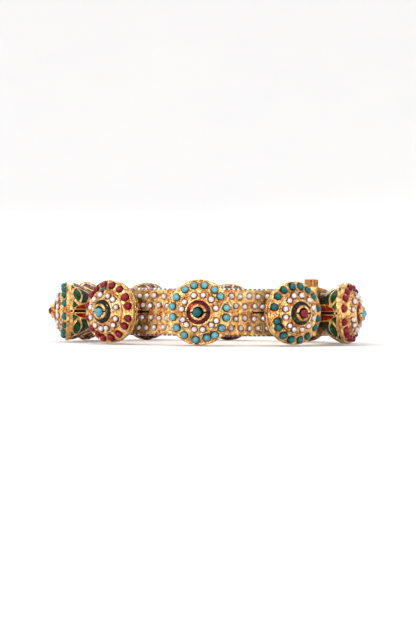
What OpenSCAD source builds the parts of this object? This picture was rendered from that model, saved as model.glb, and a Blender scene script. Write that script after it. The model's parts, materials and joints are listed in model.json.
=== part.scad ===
// Pacheli bangle: a hinged round band of gold over lac that carries ten cup-shaped bosses.
// The origin is the centre of the wrist opening at mid-height, and +Z runs along the opening.
// Boss c faces -Y. Angles run from -Y towards +X, in degrees. Sizes are in millimetres.
// A boss has a frame of its own: x along the band, y up, z outwards, zero at the rim of its cup.

/* [Band] */
// Radius of the wrist opening
wrist_r = 30.15; // [27.5:0.05:32]
// Thickness of the band
band_t = 3; // [2.8:0.1:3.4]
// Height of the band's front, between its sloping edges
front_h = 11.5; // [11:0.1:12]
// Height that each sloping edge adds to the band
edge_h = 0.38; // [0.3:0.02:0.5]
// How far each sloping edge steps back
edge_back = 0.55; // [0.45:0.05:0.7]
// Thickness of the enamel on the sloping edges
edge_enamel_t = 0.2; // [0.15:0.05:0.25]
// Length of the dark slit in the band beside each boss
band_slit_l = 3.6; // [2:0.2:4]

/* [Bosses] */
// Radius of a usual face, at its gold border
face_r = 8.15; // [7.9:0.05:8.4]
// Height of the smooth collar behind the face
collar_h = 1.55; // [1.2:0.05:1.8]
// Height of the cup from its rim to its foot
cup_h = 7.4; // [7:0.1:8]
// Radius of the cup's foot on the band
foot_r = 4.2; // [3.8:0.1:4.6]
// How strongly the cup's side bulges, where 1 is a straight cone
cup_bulge = 1.4; // [1.2:0.1:1.8]
// Thickness of the enamel skin on the cup
skin_t = 0.3; // [0.25:0.05:0.4]
// Height of the dark slit along both sides of the cup
slit_h = 0.5; // [0.3:0.05:0.7]

/* [Stones] */
// Number of coloured beads round a face
bead_n = 16; // [14:1:18]
// Radius of a coloured bead
bead_r = 0.85; // [0.7:0.05:0.95]
// Radius of the circle that the coloured beads lie on
bead_ring_r = 6.92; // [6.8:0.02:7]
// Number of seed pearls round a face
pearl_n = 12; // [10:1:13]
// Radius of a seed pearl
pearl_r = 0.7; // [0.6:0.05:0.75]
// Radius of the circle that the face's seed pearls lie on
pearl_ring_r = 4.46; // [4.4:0.02:4.6]
// Radius of the bead in the middle of a face
centre_r = 1.12; // [0.9:0.02:1.15]
// Radius of the wire that holds the middle bead
wire_r = 0.15; // [0.12:0.01:0.18]
// Angle between neighbouring pearls of one row on the band
pearl_pitch = 4.25; // [4:0.05:4.5]

/* [Hinge and clasp] */
// Angle of the clasp, and the hinge lies straight across
clasp_angle = 54.5; // [53.5:0.5:55]
// Distance of both upright axes from the middle of the bangle
pivot_r = 34; // [33.8:0.1:34.4]
// Radius of the hinge's barrels
hinge_barrel_r = 1.5; // [1.4:0.1:1.7]
// Radius of the hinge pin
hinge_pin_r = 0.7; // [0.6:0.05:0.8]
// Radius of the clasp's barrels
clasp_barrel_r = 1.9; // [1.8:0.1:2.1]
// Radius of the clasp screw's shaft
screw_r = 0.72; // [0.6:0.04:0.8]
// Height of the clasp screw's head
screw_head_h = 1.9; // [1.5:0.1:2.2]
// Width of the clasp screw's square head
screw_head_w = 2.7; // [2.4:0.1:3]

/* [Hidden] */
// One row for each boss, in these columns: name, angle on the band, extra turn about the upright,
// height of its rim over the band, what its face adds to face_r, its three colours, the number of
// pearls in each outer row between it and the next boss, and how far these rows are off the middle
NAME = 0;
ANGLE = 1;
TURN = 2;
REACH = 3;
WIDER = 4;
BEADS = 5;
ENAMEL = 6;
MIDDLE = 7;
PEARLS = 8;
SHIFT = 9;

turquoise = [0.36, 0.72, 0.78];
ruby = [0.62, 0.10, 0.27];
emerald = [0.05, 0.42, 0.44];
maroon = [0.40, 0.04, 0.14];
dark_green = [0.10, 0.16, 0.16];
gold = [0.88, 0.66, 0.30];
leaf_green = [0.02, 0.32, 0.20];
night_blue = [0.20, 0.20, 0.34];

BOSSES_FRONT = [
    ["j", -107.5, 0, 7.25, 0.2, ruby, maroon, turquoise, 5, 0],
    ["a", -75, -2.8, 7.65, 0, emerald, maroon, ruby, 6, 0],
    ["b", -38, 5.8, 7.25, 0, ruby, dark_green, turquoise, 6, -1.2],
    ["c", 0, 0, 7.25, 0.2, turquoise, maroon, emerald, 6, 1.2],
    ["d", 36, 0, 7.25, 0, emerald, dark_green, ruby, 5, 0],
];
BOSSES_BACK = [
    ["e", 67.5, 7, 7.1, 0, ruby, maroon, turquoise, 5, 0],
    ["f", 105.5, 0, 5.7, 0, turquoise, dark_green, emerald, 5, 0],
    ["g", 140.5, 0, 7.25, 0.3, emerald, maroon, ruby, 6, 0],
    ["h", 178.3, 0, 7.25, 0.4, ruby, dark_green, turquoise, 6, 0],
    ["i", 215, 0, 7.25, 0.4, turquoise, maroon, emerald, 5, 0],
];
// Pearls beside the clasp that belong to no row, as angle and height
LONE_PEARLS = [[61.7, 4.1], [61.7, -4.1], [65, 5]];
BOSSES = concat(BOSSES_FRONT, BOSSES_BACK);
BOSS_PIECES = ["face", "beads", "enamel_ring", "centre_bead", "cup_skin"];
BAND_PIECES = [
    "band_front", "band_back", "hinge_pin", "clasp_screw",
    "edge_enamel_front_top", "edge_enamel_front_bottom",
    "edge_enamel_back_top", "edge_enamel_back_bottom",
];

// Clearance between neighbouring pieces, and round what turns or slides
gap = 0.05;
run_gap = 0.2;
// Width of the joint lines between the two halves of the band
end_gap = 0.2;
// How deep the foot of a cup sinks into the band's wall
foot_sink = 1.6;
cup_steps = 8;

band_r = wrist_r + band_t;
half_front = front_h / 2;
half_h = half_front + edge_h;
hinge_angle = clasp_angle - 180;
end_angle = end_gap / 2 / band_r * 180 / PI;

// Rows of pearls on the band
inner_row_z = 1.6;
outer_row_z = 4.1;
pit_gap = 0.03;
pearl_out = 0.1;
// No pearl lies nearer than this to the hinge or the clasp
pearl_free_angle = 7;

// Levels on a face, measured outwards from the rim of the cup
lip_t = 0.2;
lip_down = 0.45;
bead_level = 0.85;
pearl_level = 2.45;
groove_level = 2.45;
wire_level = 3.95;
ring_top = 4.3;
// Radii round the middle of a face
groove_out_r = 2.9;
ring_out_r = 2.03;
ring_in_r = 1.35;
wire_slot_w = 0.36;

// Barrels of the hinge and the clasp, as heights from the middle
barrel_mid = 1.9;
barrel_gap = 0.2;
hinge_top = 5.6;
clasp_top = 7;
clasp_bottom = 5.9;
web_l = 3.6;
lug_web_l = 2.6;
// The upper lug's plate, which slopes down along the band: its length, its thickness, its top at the far
// end, and its two distances from the middle
plate_l = 4.6;
plate_t = 0.8;
plate_end_z = 6.25;
plate_in_r = 31.4;
plate_out_r = 35.7;
web_out = 0.9;
web_in_r = wrist_r + 1.05;
// The strips of edge enamel stop this far from the hinge and the clasp
edge_free_angle = 12;

round_fn = 96;
bead_fn = 48;

// A point on the sloping edge, at part t of its width and at a depth below its surface
edge_slope = norm([edge_back, edge_h]);
function on_edge(t, depth) = [
    band_r - t * edge_back - depth * edge_h / edge_slope,
    half_front + t * edge_h - depth * edge_back / edge_slope,
];

// Radius of the cup's side at part t of the way from the collar to the foot
function cup_side_r(b, t) = let(top = face_r + b[WIDER] - 0.4) top - (top - foot_r) * pow(t, cup_bulge);
function cup_side_z(t) = -collar_h - t * (cup_h - collar_h);
function cup_side(b, from, to, inset) = [
    for (i = [0:cup_steps]) let(t = from + (to - from) * i / cup_steps)
        [cup_side_r(b, t) - inset, cup_side_z(t)]
];

// Angles of one row of pearls round a middle angle
function row_angles(middle, count) = [
    for (i = [0:count - 1]) middle + (i - (count - 1) / 2) * pearl_pitch
];
function clear_of(angle, pivot) = abs((angle - pivot + 540) % 360 - 180) > pearl_free_angle;
function pearl_angles(middle, count) = [
    for (a = row_angles(middle, count)) if (clear_of(a, clasp_angle) && clear_of(a, hinge_angle)) a
];

module at_boss(b) {
    rotate([0, 0, b[ANGLE]])
        translate([0, -band_r, 0])
            rotate([90, 0, b[TURN]])
                translate([0, 0, b[REACH]]) children();
}

module both_sides() {
    children();
    mirror([1, 0, 0]) children();
}

// Places its children on the upright axis of the hinge or the clasp, with +x towards larger angles
module at_pivot(angle) {
    rotate([0, 0, angle]) translate([0, -pivot_r, 0]) children();
}

// Turns an outline round the bangle's own axis, from one angle to another
module sweep_band(from, to) {
    rotate([0, 0, from - 90]) rotate_extrude(angle = to - from, $fn = round_fn * 2) children();
}

module upright(r, z0, z1) {
    translate([0, 0, z0]) cylinder(h = z1 - z0, r = r, $fn = bead_fn);
}

module band_outline() {
    edge_0 = 0.1;
    edge_1 = 0.9;
    deep = edge_enamel_t + gap;
    upper = [
        [band_r, half_front], on_edge(edge_0, 0), on_edge(edge_0, deep),
        on_edge(edge_1, deep), on_edge(edge_1, 0), on_edge(1, 0),
        [wrist_r + 0.25, half_h], [wrist_r, half_h - 0.25],
    ];
    polygon(concat(upper, [for (i = [len(upper) - 1:-1:0]) [upper[i][0], -upper[i][1]]]));
}

module edge_outline() {
    t0 = 0.18;
    t1 = 0.82;
    polygon([on_edge(t0, 0), on_edge(t0, edge_enamel_t), on_edge(t1, edge_enamel_t), on_edge(t1, 0)]);
}

module pearl_pit(angle, z) {
    rotate([0, 0, angle])
        translate([0, -(band_r + pearl_out), z]) sphere(r = pearl_r + pit_gap, $fn = bead_fn);
}

// Pits of the four rows of pearls between a boss and the next one, which lies at angle last
module pearl_pits(b, last) {
    middle = (b[ANGLE] + last) / 2 + b[SHIFT];
    for (side = [-1, 1]) {
        for (a = pearl_angles(middle, b[PEARLS] - 1)) pearl_pit(a, side * inner_row_z);
        for (a = pearl_angles(middle, b[PEARLS])) pearl_pit(a, side * outer_row_z);
    }
}

module band_slits(b) {
    rotate([0, 0, b[ANGLE]])
        both_sides()
            translate([foot_r, -band_r - 0.5, -slit_h / 2]) cube([band_slit_l, 1.1, slit_h]);
}

// The lac-filled cup with its collar. Its side is stepped back where the enamel skin lies.
module cup(b) {
    collar_r = face_r + b[WIDER] - lip_t - gap;
    foot_z = -b[REACH] - foot_sink;
    skin_0 = 0.04;
    difference() {
        rotate_extrude($fn = round_fn) polygon(concat(
            [[0, foot_z], [0, 0], [collar_r, 0], [collar_r, -collar_h + 0.25],
             [cup_side_r(b, 0), -collar_h]],
            [[cup_side_r(b, skin_0), cup_side_z(skin_0)]],
            cup_side(b, skin_0, 1, skin_t + gap),
            [[foot_r - skin_t - gap, foot_z]]
        ));
        cup_slits(b);
    }
}

// Dark slits along the left and right side of a cup, at mid-height, from the collar to the foot
module cup_slits(b) {
    depth = skin_t + gap + 0.6;
    start_z = -0.75;
    both_sides()
        rotate([90, 0, 0])
            linear_extrude(height = slit_h, center = true) polygon([
                [face_r + 1, start_z],
                [cup_side_r(b, 0) - depth, start_z],
                [cup_side_r(b, 0.5) - depth, cup_side_z(0.5)],
                [foot_r - depth, cup_side_z(1)],
                [face_r + 1, cup_side_z(1)],
            ]);
}

// Enamel skin of a cup, from the collar down to the band
module cup_skin(b) {
    skin_0 = 0.055;
    color(leaf_green) difference() {
        at_boss(b) difference() {
            rotate_extrude($fn = round_fn) polygon(concat(
                cup_side(b, skin_0, 0.97, 0),
                [for (i = [cup_steps:-1:0]) cup_side(b, skin_0, 0.97, skin_t)[i]]
            ));
            cup_slits(b);
        }
        cylinder(h = 4 * half_h, r = band_r + gap, center = true, $fn = round_fn * 2);
    }
}

// Stepped gold face with a lip over the collar, pits for beads and pearls, and the middle ring
module face(b) {
    rim_r = face_r + b[WIDER];
    color(gold) at_boss(b) {
        difference() {
            rotate_extrude($fn = round_fn) polygon([
                [0, gap], [rim_r - lip_t, gap], [rim_r - lip_t, -lip_down], [rim_r, -lip_down],
                [rim_r, 0.1], [rim_r - 0.15, 0.32], [rim_r - 0.4, 0.36], [rim_r - 0.55, 0.28],
                [6, 1.2], [5.72, 1.42], [5.6, 1.85], [5.35, 1.9],
                [3.55, 2.75], [3.4, 3.05], [3.19, 3.18], [3, 3.08], [groove_out_r, 2.85],
                [groove_out_r, groove_level], [ring_out_r, groove_level],
                [ring_out_r, ring_top - 0.25], [ring_out_r - 0.13, ring_top],
                [ring_in_r + 0.13, ring_top], [ring_in_r, ring_top - 0.15],
                [ring_in_r, wire_level - centre_r - 0.1], [0, wire_level - centre_r - 0.1],
            ]);
            stone_ring(bead_n, bead_ring_r, bead_level, bead_r + gap);
            stone_ring(pearl_n, pearl_ring_r, pearl_level, pearl_r + pit_gap);
            both_sides()
                translate([ring_in_r - 0.3, -wire_slot_w / 2, wire_level - wire_r / 2])
                    cube([1.2, wire_slot_w, 1]);
        }
        translate([0, 0, wire_level])
            rotate([0, 90, 0])
                cylinder(h = 2 * ring_out_r - 0.2, r = wire_r, center = true, $fn = bead_fn / 2);
    }
}

module stone_ring(count, ring_r, level, r) {
    for (i = [0:count - 1])
        rotate([0, 0, (i + 0.5) * 360 / count])
            translate([ring_r, 0, level]) sphere(r = r, $fn = bead_fn);
}

module beads(b) {
    color(b[BEADS]) at_boss(b) stone_ring(bead_n, bead_ring_r, bead_level, bead_r);
}

module enamel_ring(b) {
    in_r = ring_out_r + gap;
    out_r = groove_out_r - gap;
    color(b[ENAMEL]) at_boss(b) rotate_extrude($fn = round_fn) polygon([
        [in_r, groove_level + gap], [out_r, groove_level + gap], [out_r, 3], [out_r - 0.3, 3.35],
        [in_r, 3.5],
    ]);
}

module centre_bead(b) {
    color(b[MIDDLE]) at_boss(b) translate([0, 0, wire_level]) difference() {
        sphere(r = centre_r, $fn = bead_fn);
        rotate([0, 90, 0])
            cylinder(h = 3 * centre_r, r = wire_r + gap, center = true, $fn = bead_fn / 2);
    }
}

// A block that joins a barrel to the band on one side of the pivot
module web(side, length, z0, z1) {
    block(web_in_r, pivot_r + web_out) polygon([
        [0, z0], [side * length, z0], [side * length, z1], [0, z1],
    ]);
}

// Gives an outline in the upright plane of the pivot a thickness, between two distances from the middle
module block(r0, r1) {
    translate([0, pivot_r - r0, 0]) rotate([90, 0, 0]) linear_extrude(height = r1 - r0) children();
}

// Half of the band between two angles, cleared round both pivots and without its barrels
module half_band(from, to, bosses) {
    difference() {
        union() {
            difference() {
                sweep_band(from + end_angle, to - end_angle) band_outline();
                for (b = bosses) band_slits(b);
            }
            for (b = bosses) at_boss(b) cup(b);
        }
        for (i = [0:len(bosses) - 2]) pearl_pits(bosses[i], bosses[i + 1][ANGLE]);
        at_pivot(hinge_angle) upright(hinge_barrel_r + run_gap, -half_h - 1, half_h + 1);
        at_pivot(clasp_angle) upright(clasp_barrel_r + run_gap, -half_h - 1, half_h + 1);
    }
}

// Pearl pits in the two gaps that hold the hinge and the clasp
module end_pits() {
    pearl_pits(BOSSES_FRONT[4], BOSSES_BACK[0][ANGLE]);
    pearl_pits(BOSSES_BACK[4], BOSSES_FRONT[0][ANGLE] + 360);
    for (p = LONE_PEARLS) pearl_pit(p[0], p[1]);
}

// Front half: bosses j to d, the hinge's outer barrels and the clasp's forked tongue
module band_front() {
    color(gold) difference() {
        union() {
            half_band(hinge_angle, clasp_angle, BOSSES_FRONT);
            at_pivot(hinge_angle)
                for (z = [[barrel_mid + barrel_gap, hinge_top], [-hinge_top, -barrel_mid - barrel_gap]]) {
                    upright(hinge_barrel_r, z[0], z[1]);
                    web(1, web_l, z[0], z[1]);
                }
            at_pivot(clasp_angle) {
                upright(clasp_barrel_r, -barrel_mid, barrel_mid);
                web(-1, web_l, -barrel_mid, barrel_mid);
            }
        }
        end_pits();
        at_pivot(hinge_angle) upright(hinge_pin_r + gap, -half_h - 1, half_h + 1);
        at_pivot(clasp_angle) {
            upright(screw_r + run_gap, -half_h - 1, half_h + 1);
            // The tongue's fork is open towards the other half
            translate([0, -screw_r - run_gap, -half_h])
                cube([2 * clasp_barrel_r, 2 * (screw_r + run_gap), 2 * half_h]);
        }
    }
}

// Back half: bosses e to i, the hinge's middle barrel and the clasp's two lugs
module band_back() {
    lug_z = barrel_mid + barrel_gap;
    color(gold) difference() {
        union() {
            half_band(clasp_angle, hinge_angle + 360, BOSSES_BACK);
            at_pivot(hinge_angle) {
                upright(hinge_barrel_r, -barrel_mid, barrel_mid);
                web(-1, web_l, -barrel_mid, barrel_mid);
            }
            at_pivot(clasp_angle) {
                upright(clasp_barrel_r, lug_z, clasp_top);
                web(1, lug_web_l, lug_z, clasp_bottom);
                block(plate_in_r, plate_out_r) polygon([
                    [0, clasp_top - plate_t], [plate_l, plate_end_z - plate_t],
                    [plate_l, plate_end_z], [0, clasp_top],
                ]);
                upright(clasp_barrel_r, -clasp_bottom, -lug_z);
                web(1, lug_web_l, -clasp_bottom, -lug_z);
            }
        }
        end_pits();
        at_pivot(hinge_angle) upright(hinge_pin_r + gap, -half_h - 1, half_h + 1);
        at_pivot(clasp_angle) upright(screw_r + gap, -half_h - 1, clasp_top + 1);
    }
}

// Headed pin that stays in the front half's outer barrels
module hinge_pin() {
    head_r = hinge_pin_r + 0.45;
    head_h = 0.4;
    color(gold) at_pivot(hinge_angle) {
        upright(hinge_pin_r, -hinge_top - gap - head_h, hinge_top + gap + head_h);
        for (z = [hinge_top + gap, -hinge_top - gap - head_h]) upright(head_r, z, z + head_h);
    }
}

// Lift-out screw of the clasp, with a square head above the upper lug
module clasp_screw() {
    head_z = clasp_top + gap;
    color(gold) at_pivot(clasp_angle) {
        upright(screw_r, -clasp_bottom, head_z + 0.5);
        translate([-screw_head_w / 2, -screw_head_w / 2, head_z])
            cube([screw_head_w, screw_head_w, screw_head_h]);
    }
}

module edge_enamel(from, to, top) {
    color(night_blue)
        mirror([0, 0, top ? 0 : 1])
            sweep_band(from + edge_free_angle, to - edge_free_angle) edge_outline();
}

band_front();
band_back();
hinge_pin();
clasp_screw();
edge_enamel(hinge_angle, clasp_angle, true);  // edge_enamel_front_top
edge_enamel(hinge_angle, clasp_angle, false);  // edge_enamel_front_bottom
edge_enamel(clasp_angle, hinge_angle + 360, true);  // edge_enamel_back_top
edge_enamel(clasp_angle, hinge_angle + 360, false);  // edge_enamel_back_bottom
for (b = BOSSES) {
    face(b);
    beads(b);
    enamel_ring(b);
    centre_bead(b);
    cup_skin(b);
}
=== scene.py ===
"""Looks of a hinged pacheli bangle: gold foil, enamel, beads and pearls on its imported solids."""
import json
import logging
import math
import random
from collections.abc import Callable, Iterable, Sequence
from dataclasses import dataclass
from enum import Enum

import bmesh
import bpy
from mathutils import Matrix, Vector, kdtree, noise

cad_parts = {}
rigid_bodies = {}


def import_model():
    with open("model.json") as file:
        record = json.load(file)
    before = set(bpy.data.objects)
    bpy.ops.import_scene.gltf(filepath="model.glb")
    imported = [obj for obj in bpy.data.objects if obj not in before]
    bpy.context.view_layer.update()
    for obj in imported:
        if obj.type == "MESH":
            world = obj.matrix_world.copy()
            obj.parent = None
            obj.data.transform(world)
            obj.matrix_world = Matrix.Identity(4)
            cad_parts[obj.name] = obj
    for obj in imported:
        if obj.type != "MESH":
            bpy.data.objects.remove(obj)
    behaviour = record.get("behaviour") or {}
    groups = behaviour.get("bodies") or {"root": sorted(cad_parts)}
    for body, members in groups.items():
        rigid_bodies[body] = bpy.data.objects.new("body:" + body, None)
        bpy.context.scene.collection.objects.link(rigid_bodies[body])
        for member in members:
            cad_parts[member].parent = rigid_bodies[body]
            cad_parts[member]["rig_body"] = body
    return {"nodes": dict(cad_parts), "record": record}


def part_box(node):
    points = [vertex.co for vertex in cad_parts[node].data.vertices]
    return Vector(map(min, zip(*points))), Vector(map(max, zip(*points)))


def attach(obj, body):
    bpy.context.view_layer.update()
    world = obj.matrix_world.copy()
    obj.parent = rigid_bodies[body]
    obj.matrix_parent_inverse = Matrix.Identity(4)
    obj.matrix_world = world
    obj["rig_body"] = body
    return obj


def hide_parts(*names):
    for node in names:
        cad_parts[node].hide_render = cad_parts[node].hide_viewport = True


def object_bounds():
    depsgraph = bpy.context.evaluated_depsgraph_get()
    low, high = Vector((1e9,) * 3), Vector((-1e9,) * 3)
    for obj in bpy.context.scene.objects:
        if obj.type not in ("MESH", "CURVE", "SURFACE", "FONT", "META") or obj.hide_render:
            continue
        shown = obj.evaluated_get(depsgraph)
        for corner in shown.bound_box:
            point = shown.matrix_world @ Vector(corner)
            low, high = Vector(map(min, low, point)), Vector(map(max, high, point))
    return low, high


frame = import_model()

LOG = logging.getLogger("bangle")
CAD_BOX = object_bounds()
MM = 0.001
UP = Vector((0.0, 0.0, 1.0))
# Values that points carry for the shaders: how much painted shade they get in creases, pits,
# enamel rims and balls' seats, and a tone
PAINTED_SHADE = "painted_shade"
TINT = "tint"
BOSS_NAMES = "abcdefghij"
# The bosses in order round the band, starting after the hinge
BAND_ORDER = "jabcdefghi"
# How far a cup's enamel cells lie towards its foot, as a part of its side: by boss, and on others
CELL_LIFTS = {"a": 0.0, "e": -0.05}
USUAL_LIFT = -0.02
# The number of pearls in each outer row after a boss, and how many degrees they are off the middle
PEARL_ROWS = {"a": (6, 0.0), "b": (6, -1.2), "c": (6, 1.2), "g": (6, 0.0), "h": (6, 0.0)}
USUAL_ROW = (5, 0.0)
# Pearls beside the clasp that belong to no row, as degrees and height
LONE_PEARLS = ((61.7, 4.1), (61.7, -4.1), (65.0, 5.0))
# Numbers that tell apart the random reliefs of one face
FINE_SEED = 3
DOME_SEED = 5
BEND_SEED = 9
# How a relief moves with its seed, along each axis
SEED_STRIDES = (7.3, 3.1, 5.7)
# Points nearer to each other than this, in millimetres, are one
SAME_POINT = 1e-4
# A length below this, in millimetres, counts as 0
NEAR_ZERO = 1e-3
# A step for an outline whose sides stay whole
WHOLE = 10.0
# The balls' seed span, a ball's painted shade at its middle's level, and what a radius down adds
BALL_SEEDS = 40
BALL_PAINTED_SHADE = 0.55
BALL_PAINTED_SHADE_SLOPE = 1.1
# The stretch over which a cloudy pattern goes from none to all
CLOUD_RANGE = (0.35, 0.65)

Colour = tuple[float, float, float, float]
# A ball's centre and radius, in millimetres
Ball = tuple[Vector, float]
# Points and edges that an operator takes
Geometry = list[bmesh.types.BMVert | bmesh.types.BMEdge]


def tone(red: int, green: int, blue: int) -> Colour:
    """Turns a screen colour into the linear colour that a shader takes.

    Args:
        red: Red, from 0 to 255.
        green: Green, from 0 to 255.
        blue: Blue, from 0 to 255.

    Returns:
        The colour with full alpha.
    """
    def linear(value: int) -> float:
        """One channel, from 0 to 1."""
        part = value / 255
        return part / 12.92 if part <= 0.04045 else ((part + 0.055) / 1.055) ** 2.4

    return linear(red), linear(green), linear(blue), 1.0


def shaded(colour: Colour, share: float) -> Colour:
    """A darker colour, with that share of the first one's light."""
    return colour[0] * share, colour[1] * share, colour[2] * share, 1.0


@dataclass(frozen=True)
class Nudge:
    """How one stone lies off its even place in its ring, by degrees and by millimetres outwards.

    Stones are counted from the right side, against the clock.
    """

    stone: int
    degrees: float
    out: float = 0.0


@dataclass(frozen=True)
class OddBead:
    """One small bead of another colour that was pushed in between its neighbours.

    Its place on the boss and its radius are in millimetres.
    """

    boss: str
    x: float
    y: float
    z: float
    radius: float
    lumps: float = 0.05
    fineness: int = 3


BEAD_NUDGES = {
    "a": (Nudge(0, 6.5), Nudge(1, 4.5)),
    "b": (Nudge(6, -4), Nudge(8, 3.5, -0.2), Nudge(9, 7.5, -0.2), Nudge(10, 3.5, -0.2),
          Nudge(15, -5, 0.1)),
    "c": (Nudge(1, 2, -0.3), Nudge(11, 3), Nudge(12, 4.5, -0.3)),
    "d": (Nudge(1, 6, -0.2), Nudge(2, 3.5), Nudge(5, 0, 0.2), Nudge(6, -2, 0.2),
          Nudge(8, 8.5, -0.6), Nudge(9, 2, -0.45), Nudge(13, -3.5)),
    "e": (Nudge(8, 7.5), Nudge(9, 6.5)),
}
PEARL_NUDGES = {
    "b": (Nudge(2, -5.5, -0.2), Nudge(6, 7), Nudge(7, 6.5), Nudge(8, 6.5), Nudge(10, 0, 0.45),
          Nudge(11, -9)),
    "c": (Nudge(4, 9), Nudge(5, 4), Nudge(6, 11.5), Nudge(11, -11.5, 0.5)),
    "d": (Nudge(0, 5, -0.2), Nudge(1, 6.5, -0.2), Nudge(2, 9), Nudge(3, 6.5, 0.25),
          Nudge(8, -7.5), Nudge(9, -5.5, -0.3), Nudge(10, -6, -0.3)),
    "e": (Nudge(3, -7), Nudge(6, 7)),
}
# How far the middle beads are off their rings' middles, along and up the face
MIDDLE_SHIFTS = {"b": (-0.25, -0.15), "c": (-0.3, 0.0), "d": (0.1, -0.1)}
ODD_BEAD = OddBead(boss="b", x=-0.94, y=5.8, z=1.05, radius=0.68)


class Stone(Enum):
    """The coloured stones, by the record's material slots."""

    TURQUOISE = "turquoise_bead"
    RUBY = "ruby_bead"
    EMERALD = "emerald_bead"


class RingEnamel(Enum):
    """The enamels round the middle of a face, by the record's material slots."""

    MAROON = "maroon_enamel"
    DARK_GREEN = "dark_green_enamel"


class FoilPart(Enum):
    """What a worked foil is made of, by the place of each finish on the piece."""

    GOLD = 0
    # Lac: real in the band's slits; on a face, laid as painted shade in the ring's slot and
    # hollow, and on the wire
    LAC = 1


class CupPart(Enum):
    """What the enamelled side of a cup is made of, by the place of each finish on the piece."""

    WIRE = 0
    LEAF = 1
    LOBE = 2
    PETAL = 3
    PANEL = 4
    LAC = 5


class Shader:
    """The node tree of one material, with short ways to add to it."""

    # The places of a Mix node's colour sockets, whose names others share
    MIX_SHARE = 0
    MIX_FIRST = 6
    MIX_SECOND = 7
    MIX_COLOUR = 2

    def __init__(self, name: str) -> None:
        """Starts a material.

        Args:
            name: The material's name.
        """
        self.material = bpy.data.materials.new(name)
        self.material.use_nodes = True
        self.tree = self.material.node_tree
        self.surface = self.tree.nodes["Principled BSDF"]
        self.place = self.add("ShaderNodeTexCoord").outputs["Object"]

    def add(self, kind: str, **settings: object) -> bpy.types.Node:
        """Adds a node.

        Args:
            kind: The node's type.
            **settings: Values for its own properties.

        Returns:
            The new node.
        """
        made = self.tree.nodes.new(kind)
        for key, value in settings.items():
            setattr(made, key, value)
        return made

    def feed(self, socket: bpy.types.NodeSocket, value: object) -> None:
        """Links a socket to another, or sets it to a plain value.

        Args:
            socket: The socket that takes the value.
            value: A socket, a number or a colour.
        """
        if isinstance(value, bpy.types.NodeSocket):
            self.tree.links.new(value, socket)
        else:
            socket.default_value = value

    def set(self, **values: object) -> None:
        """Sets or links the surface's sockets, with underscores in the names for spaces."""
        for key, value in values.items():
            self.feed(self.surface.inputs[key.replace("_", " ")], value)

    def noise(self, size: float, detail: float = 3.0,
              distortion: float = 0.0) -> bpy.types.NodeSocket:
        """Adds a cloudy pattern.

        Args:
            size: The size of its largest patches, in millimetres.
            detail: How many finer layers it has.
            distortion: How much it is stirred.

        Returns:
            A value that is mostly between 0.3 and 0.7.
        """
        made = self.add("ShaderNodeTexNoise")
        self.feed(made.inputs["Vector"], self.place)
        made.inputs["Scale"].default_value = 1 / (size * MM)
        made.inputs["Detail"].default_value = detail
        made.inputs["Distortion"].default_value = distortion
        return made.outputs["Fac"]

    def dents(self, size: float) -> bpy.types.NodeSocket:
        """Adds a pattern of round dents.

        Args:
            size: The usual width of a dent, in millimetres.

        Returns:
            The distance from the middle of a dent.
        """
        made = self.add("ShaderNodeTexVoronoi", feature="SMOOTH_F1")
        self.feed(made.inputs["Vector"], self.place)
        made.inputs["Scale"].default_value = 1 / (size * MM)
        return made.outputs["Distance"]

    def attribute(self, name: str) -> bpy.types.NodeSocket:
        """Reads a value that the piece's points carry, or 0 where they carry none."""
        return self.add("ShaderNodeAttribute", attribute_name=name).outputs["Fac"]

    def calc(self, operation: str, first: object, second: object = 0.0) -> bpy.types.NodeSocket:
        """Adds one calculation.

        Args:
            operation: The Math node's operation.
            first: A socket or a number.
            second: A socket or a number.

        Returns:
            The result, kept between 0 and 1.
        """
        made = self.add("ShaderNodeMath", operation=operation, use_clamp=True)
        self.feed(made.inputs[0], first)
        self.feed(made.inputs[1], second)
        return made.outputs[0]

    def step(self, value: bpy.types.NodeSocket, low: float, high: float) -> bpy.types.NodeSocket:
        """Spreads the stretch of a value from low to high over 0 to 1.

        Args:
            value: The value.
            low: Where the result is 0.
            high: Where it is 1, which may be below low.

        Returns:
            The result, with soft ends.
        """
        made = self.add("ShaderNodeMapRange", interpolation_type="SMOOTHSTEP")
        self.feed(made.inputs["Value"], value)
        made.inputs["From Min"].default_value = low
        made.inputs["From Max"].default_value = high
        return made.outputs["Result"]

    def mix(self, share: object, first: object, second: object) -> bpy.types.NodeSocket:
        """Mixes two colours.

        Args:
            share: How much of the second one there is, as a socket or a number.
            first: A colour or a socket.
            second: A colour or a socket.

        Returns:
            The mixed colour.
        """
        made = self.add("ShaderNodeMix", data_type="RGBA")
        self.feed(made.inputs[self.MIX_SHARE], share)
        self.feed(made.inputs[self.MIX_FIRST], first)
        self.feed(made.inputs[self.MIX_SECOND], second)
        return made.outputs[self.MIX_COLOUR]

    def bump(self, height: bpy.types.NodeSocket, depth: float,
             below: bpy.types.NodeSocket | None = None) -> bpy.types.NodeSocket:
        """Adds relief too fine to model.

        Args:
            height: The pattern.
            depth: Its full height, in millimetres.
            below: The normal of a coarser relief that this one lies on.

        Returns:
            The new normal.
        """
        made = self.add("ShaderNodeBump")
        made.inputs["Distance"].default_value = depth * MM
        self.feed(made.inputs["Height"], height)
        if below is not None:
            self.feed(made.inputs["Normal"], below)
        return made.outputs["Normal"]


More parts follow.
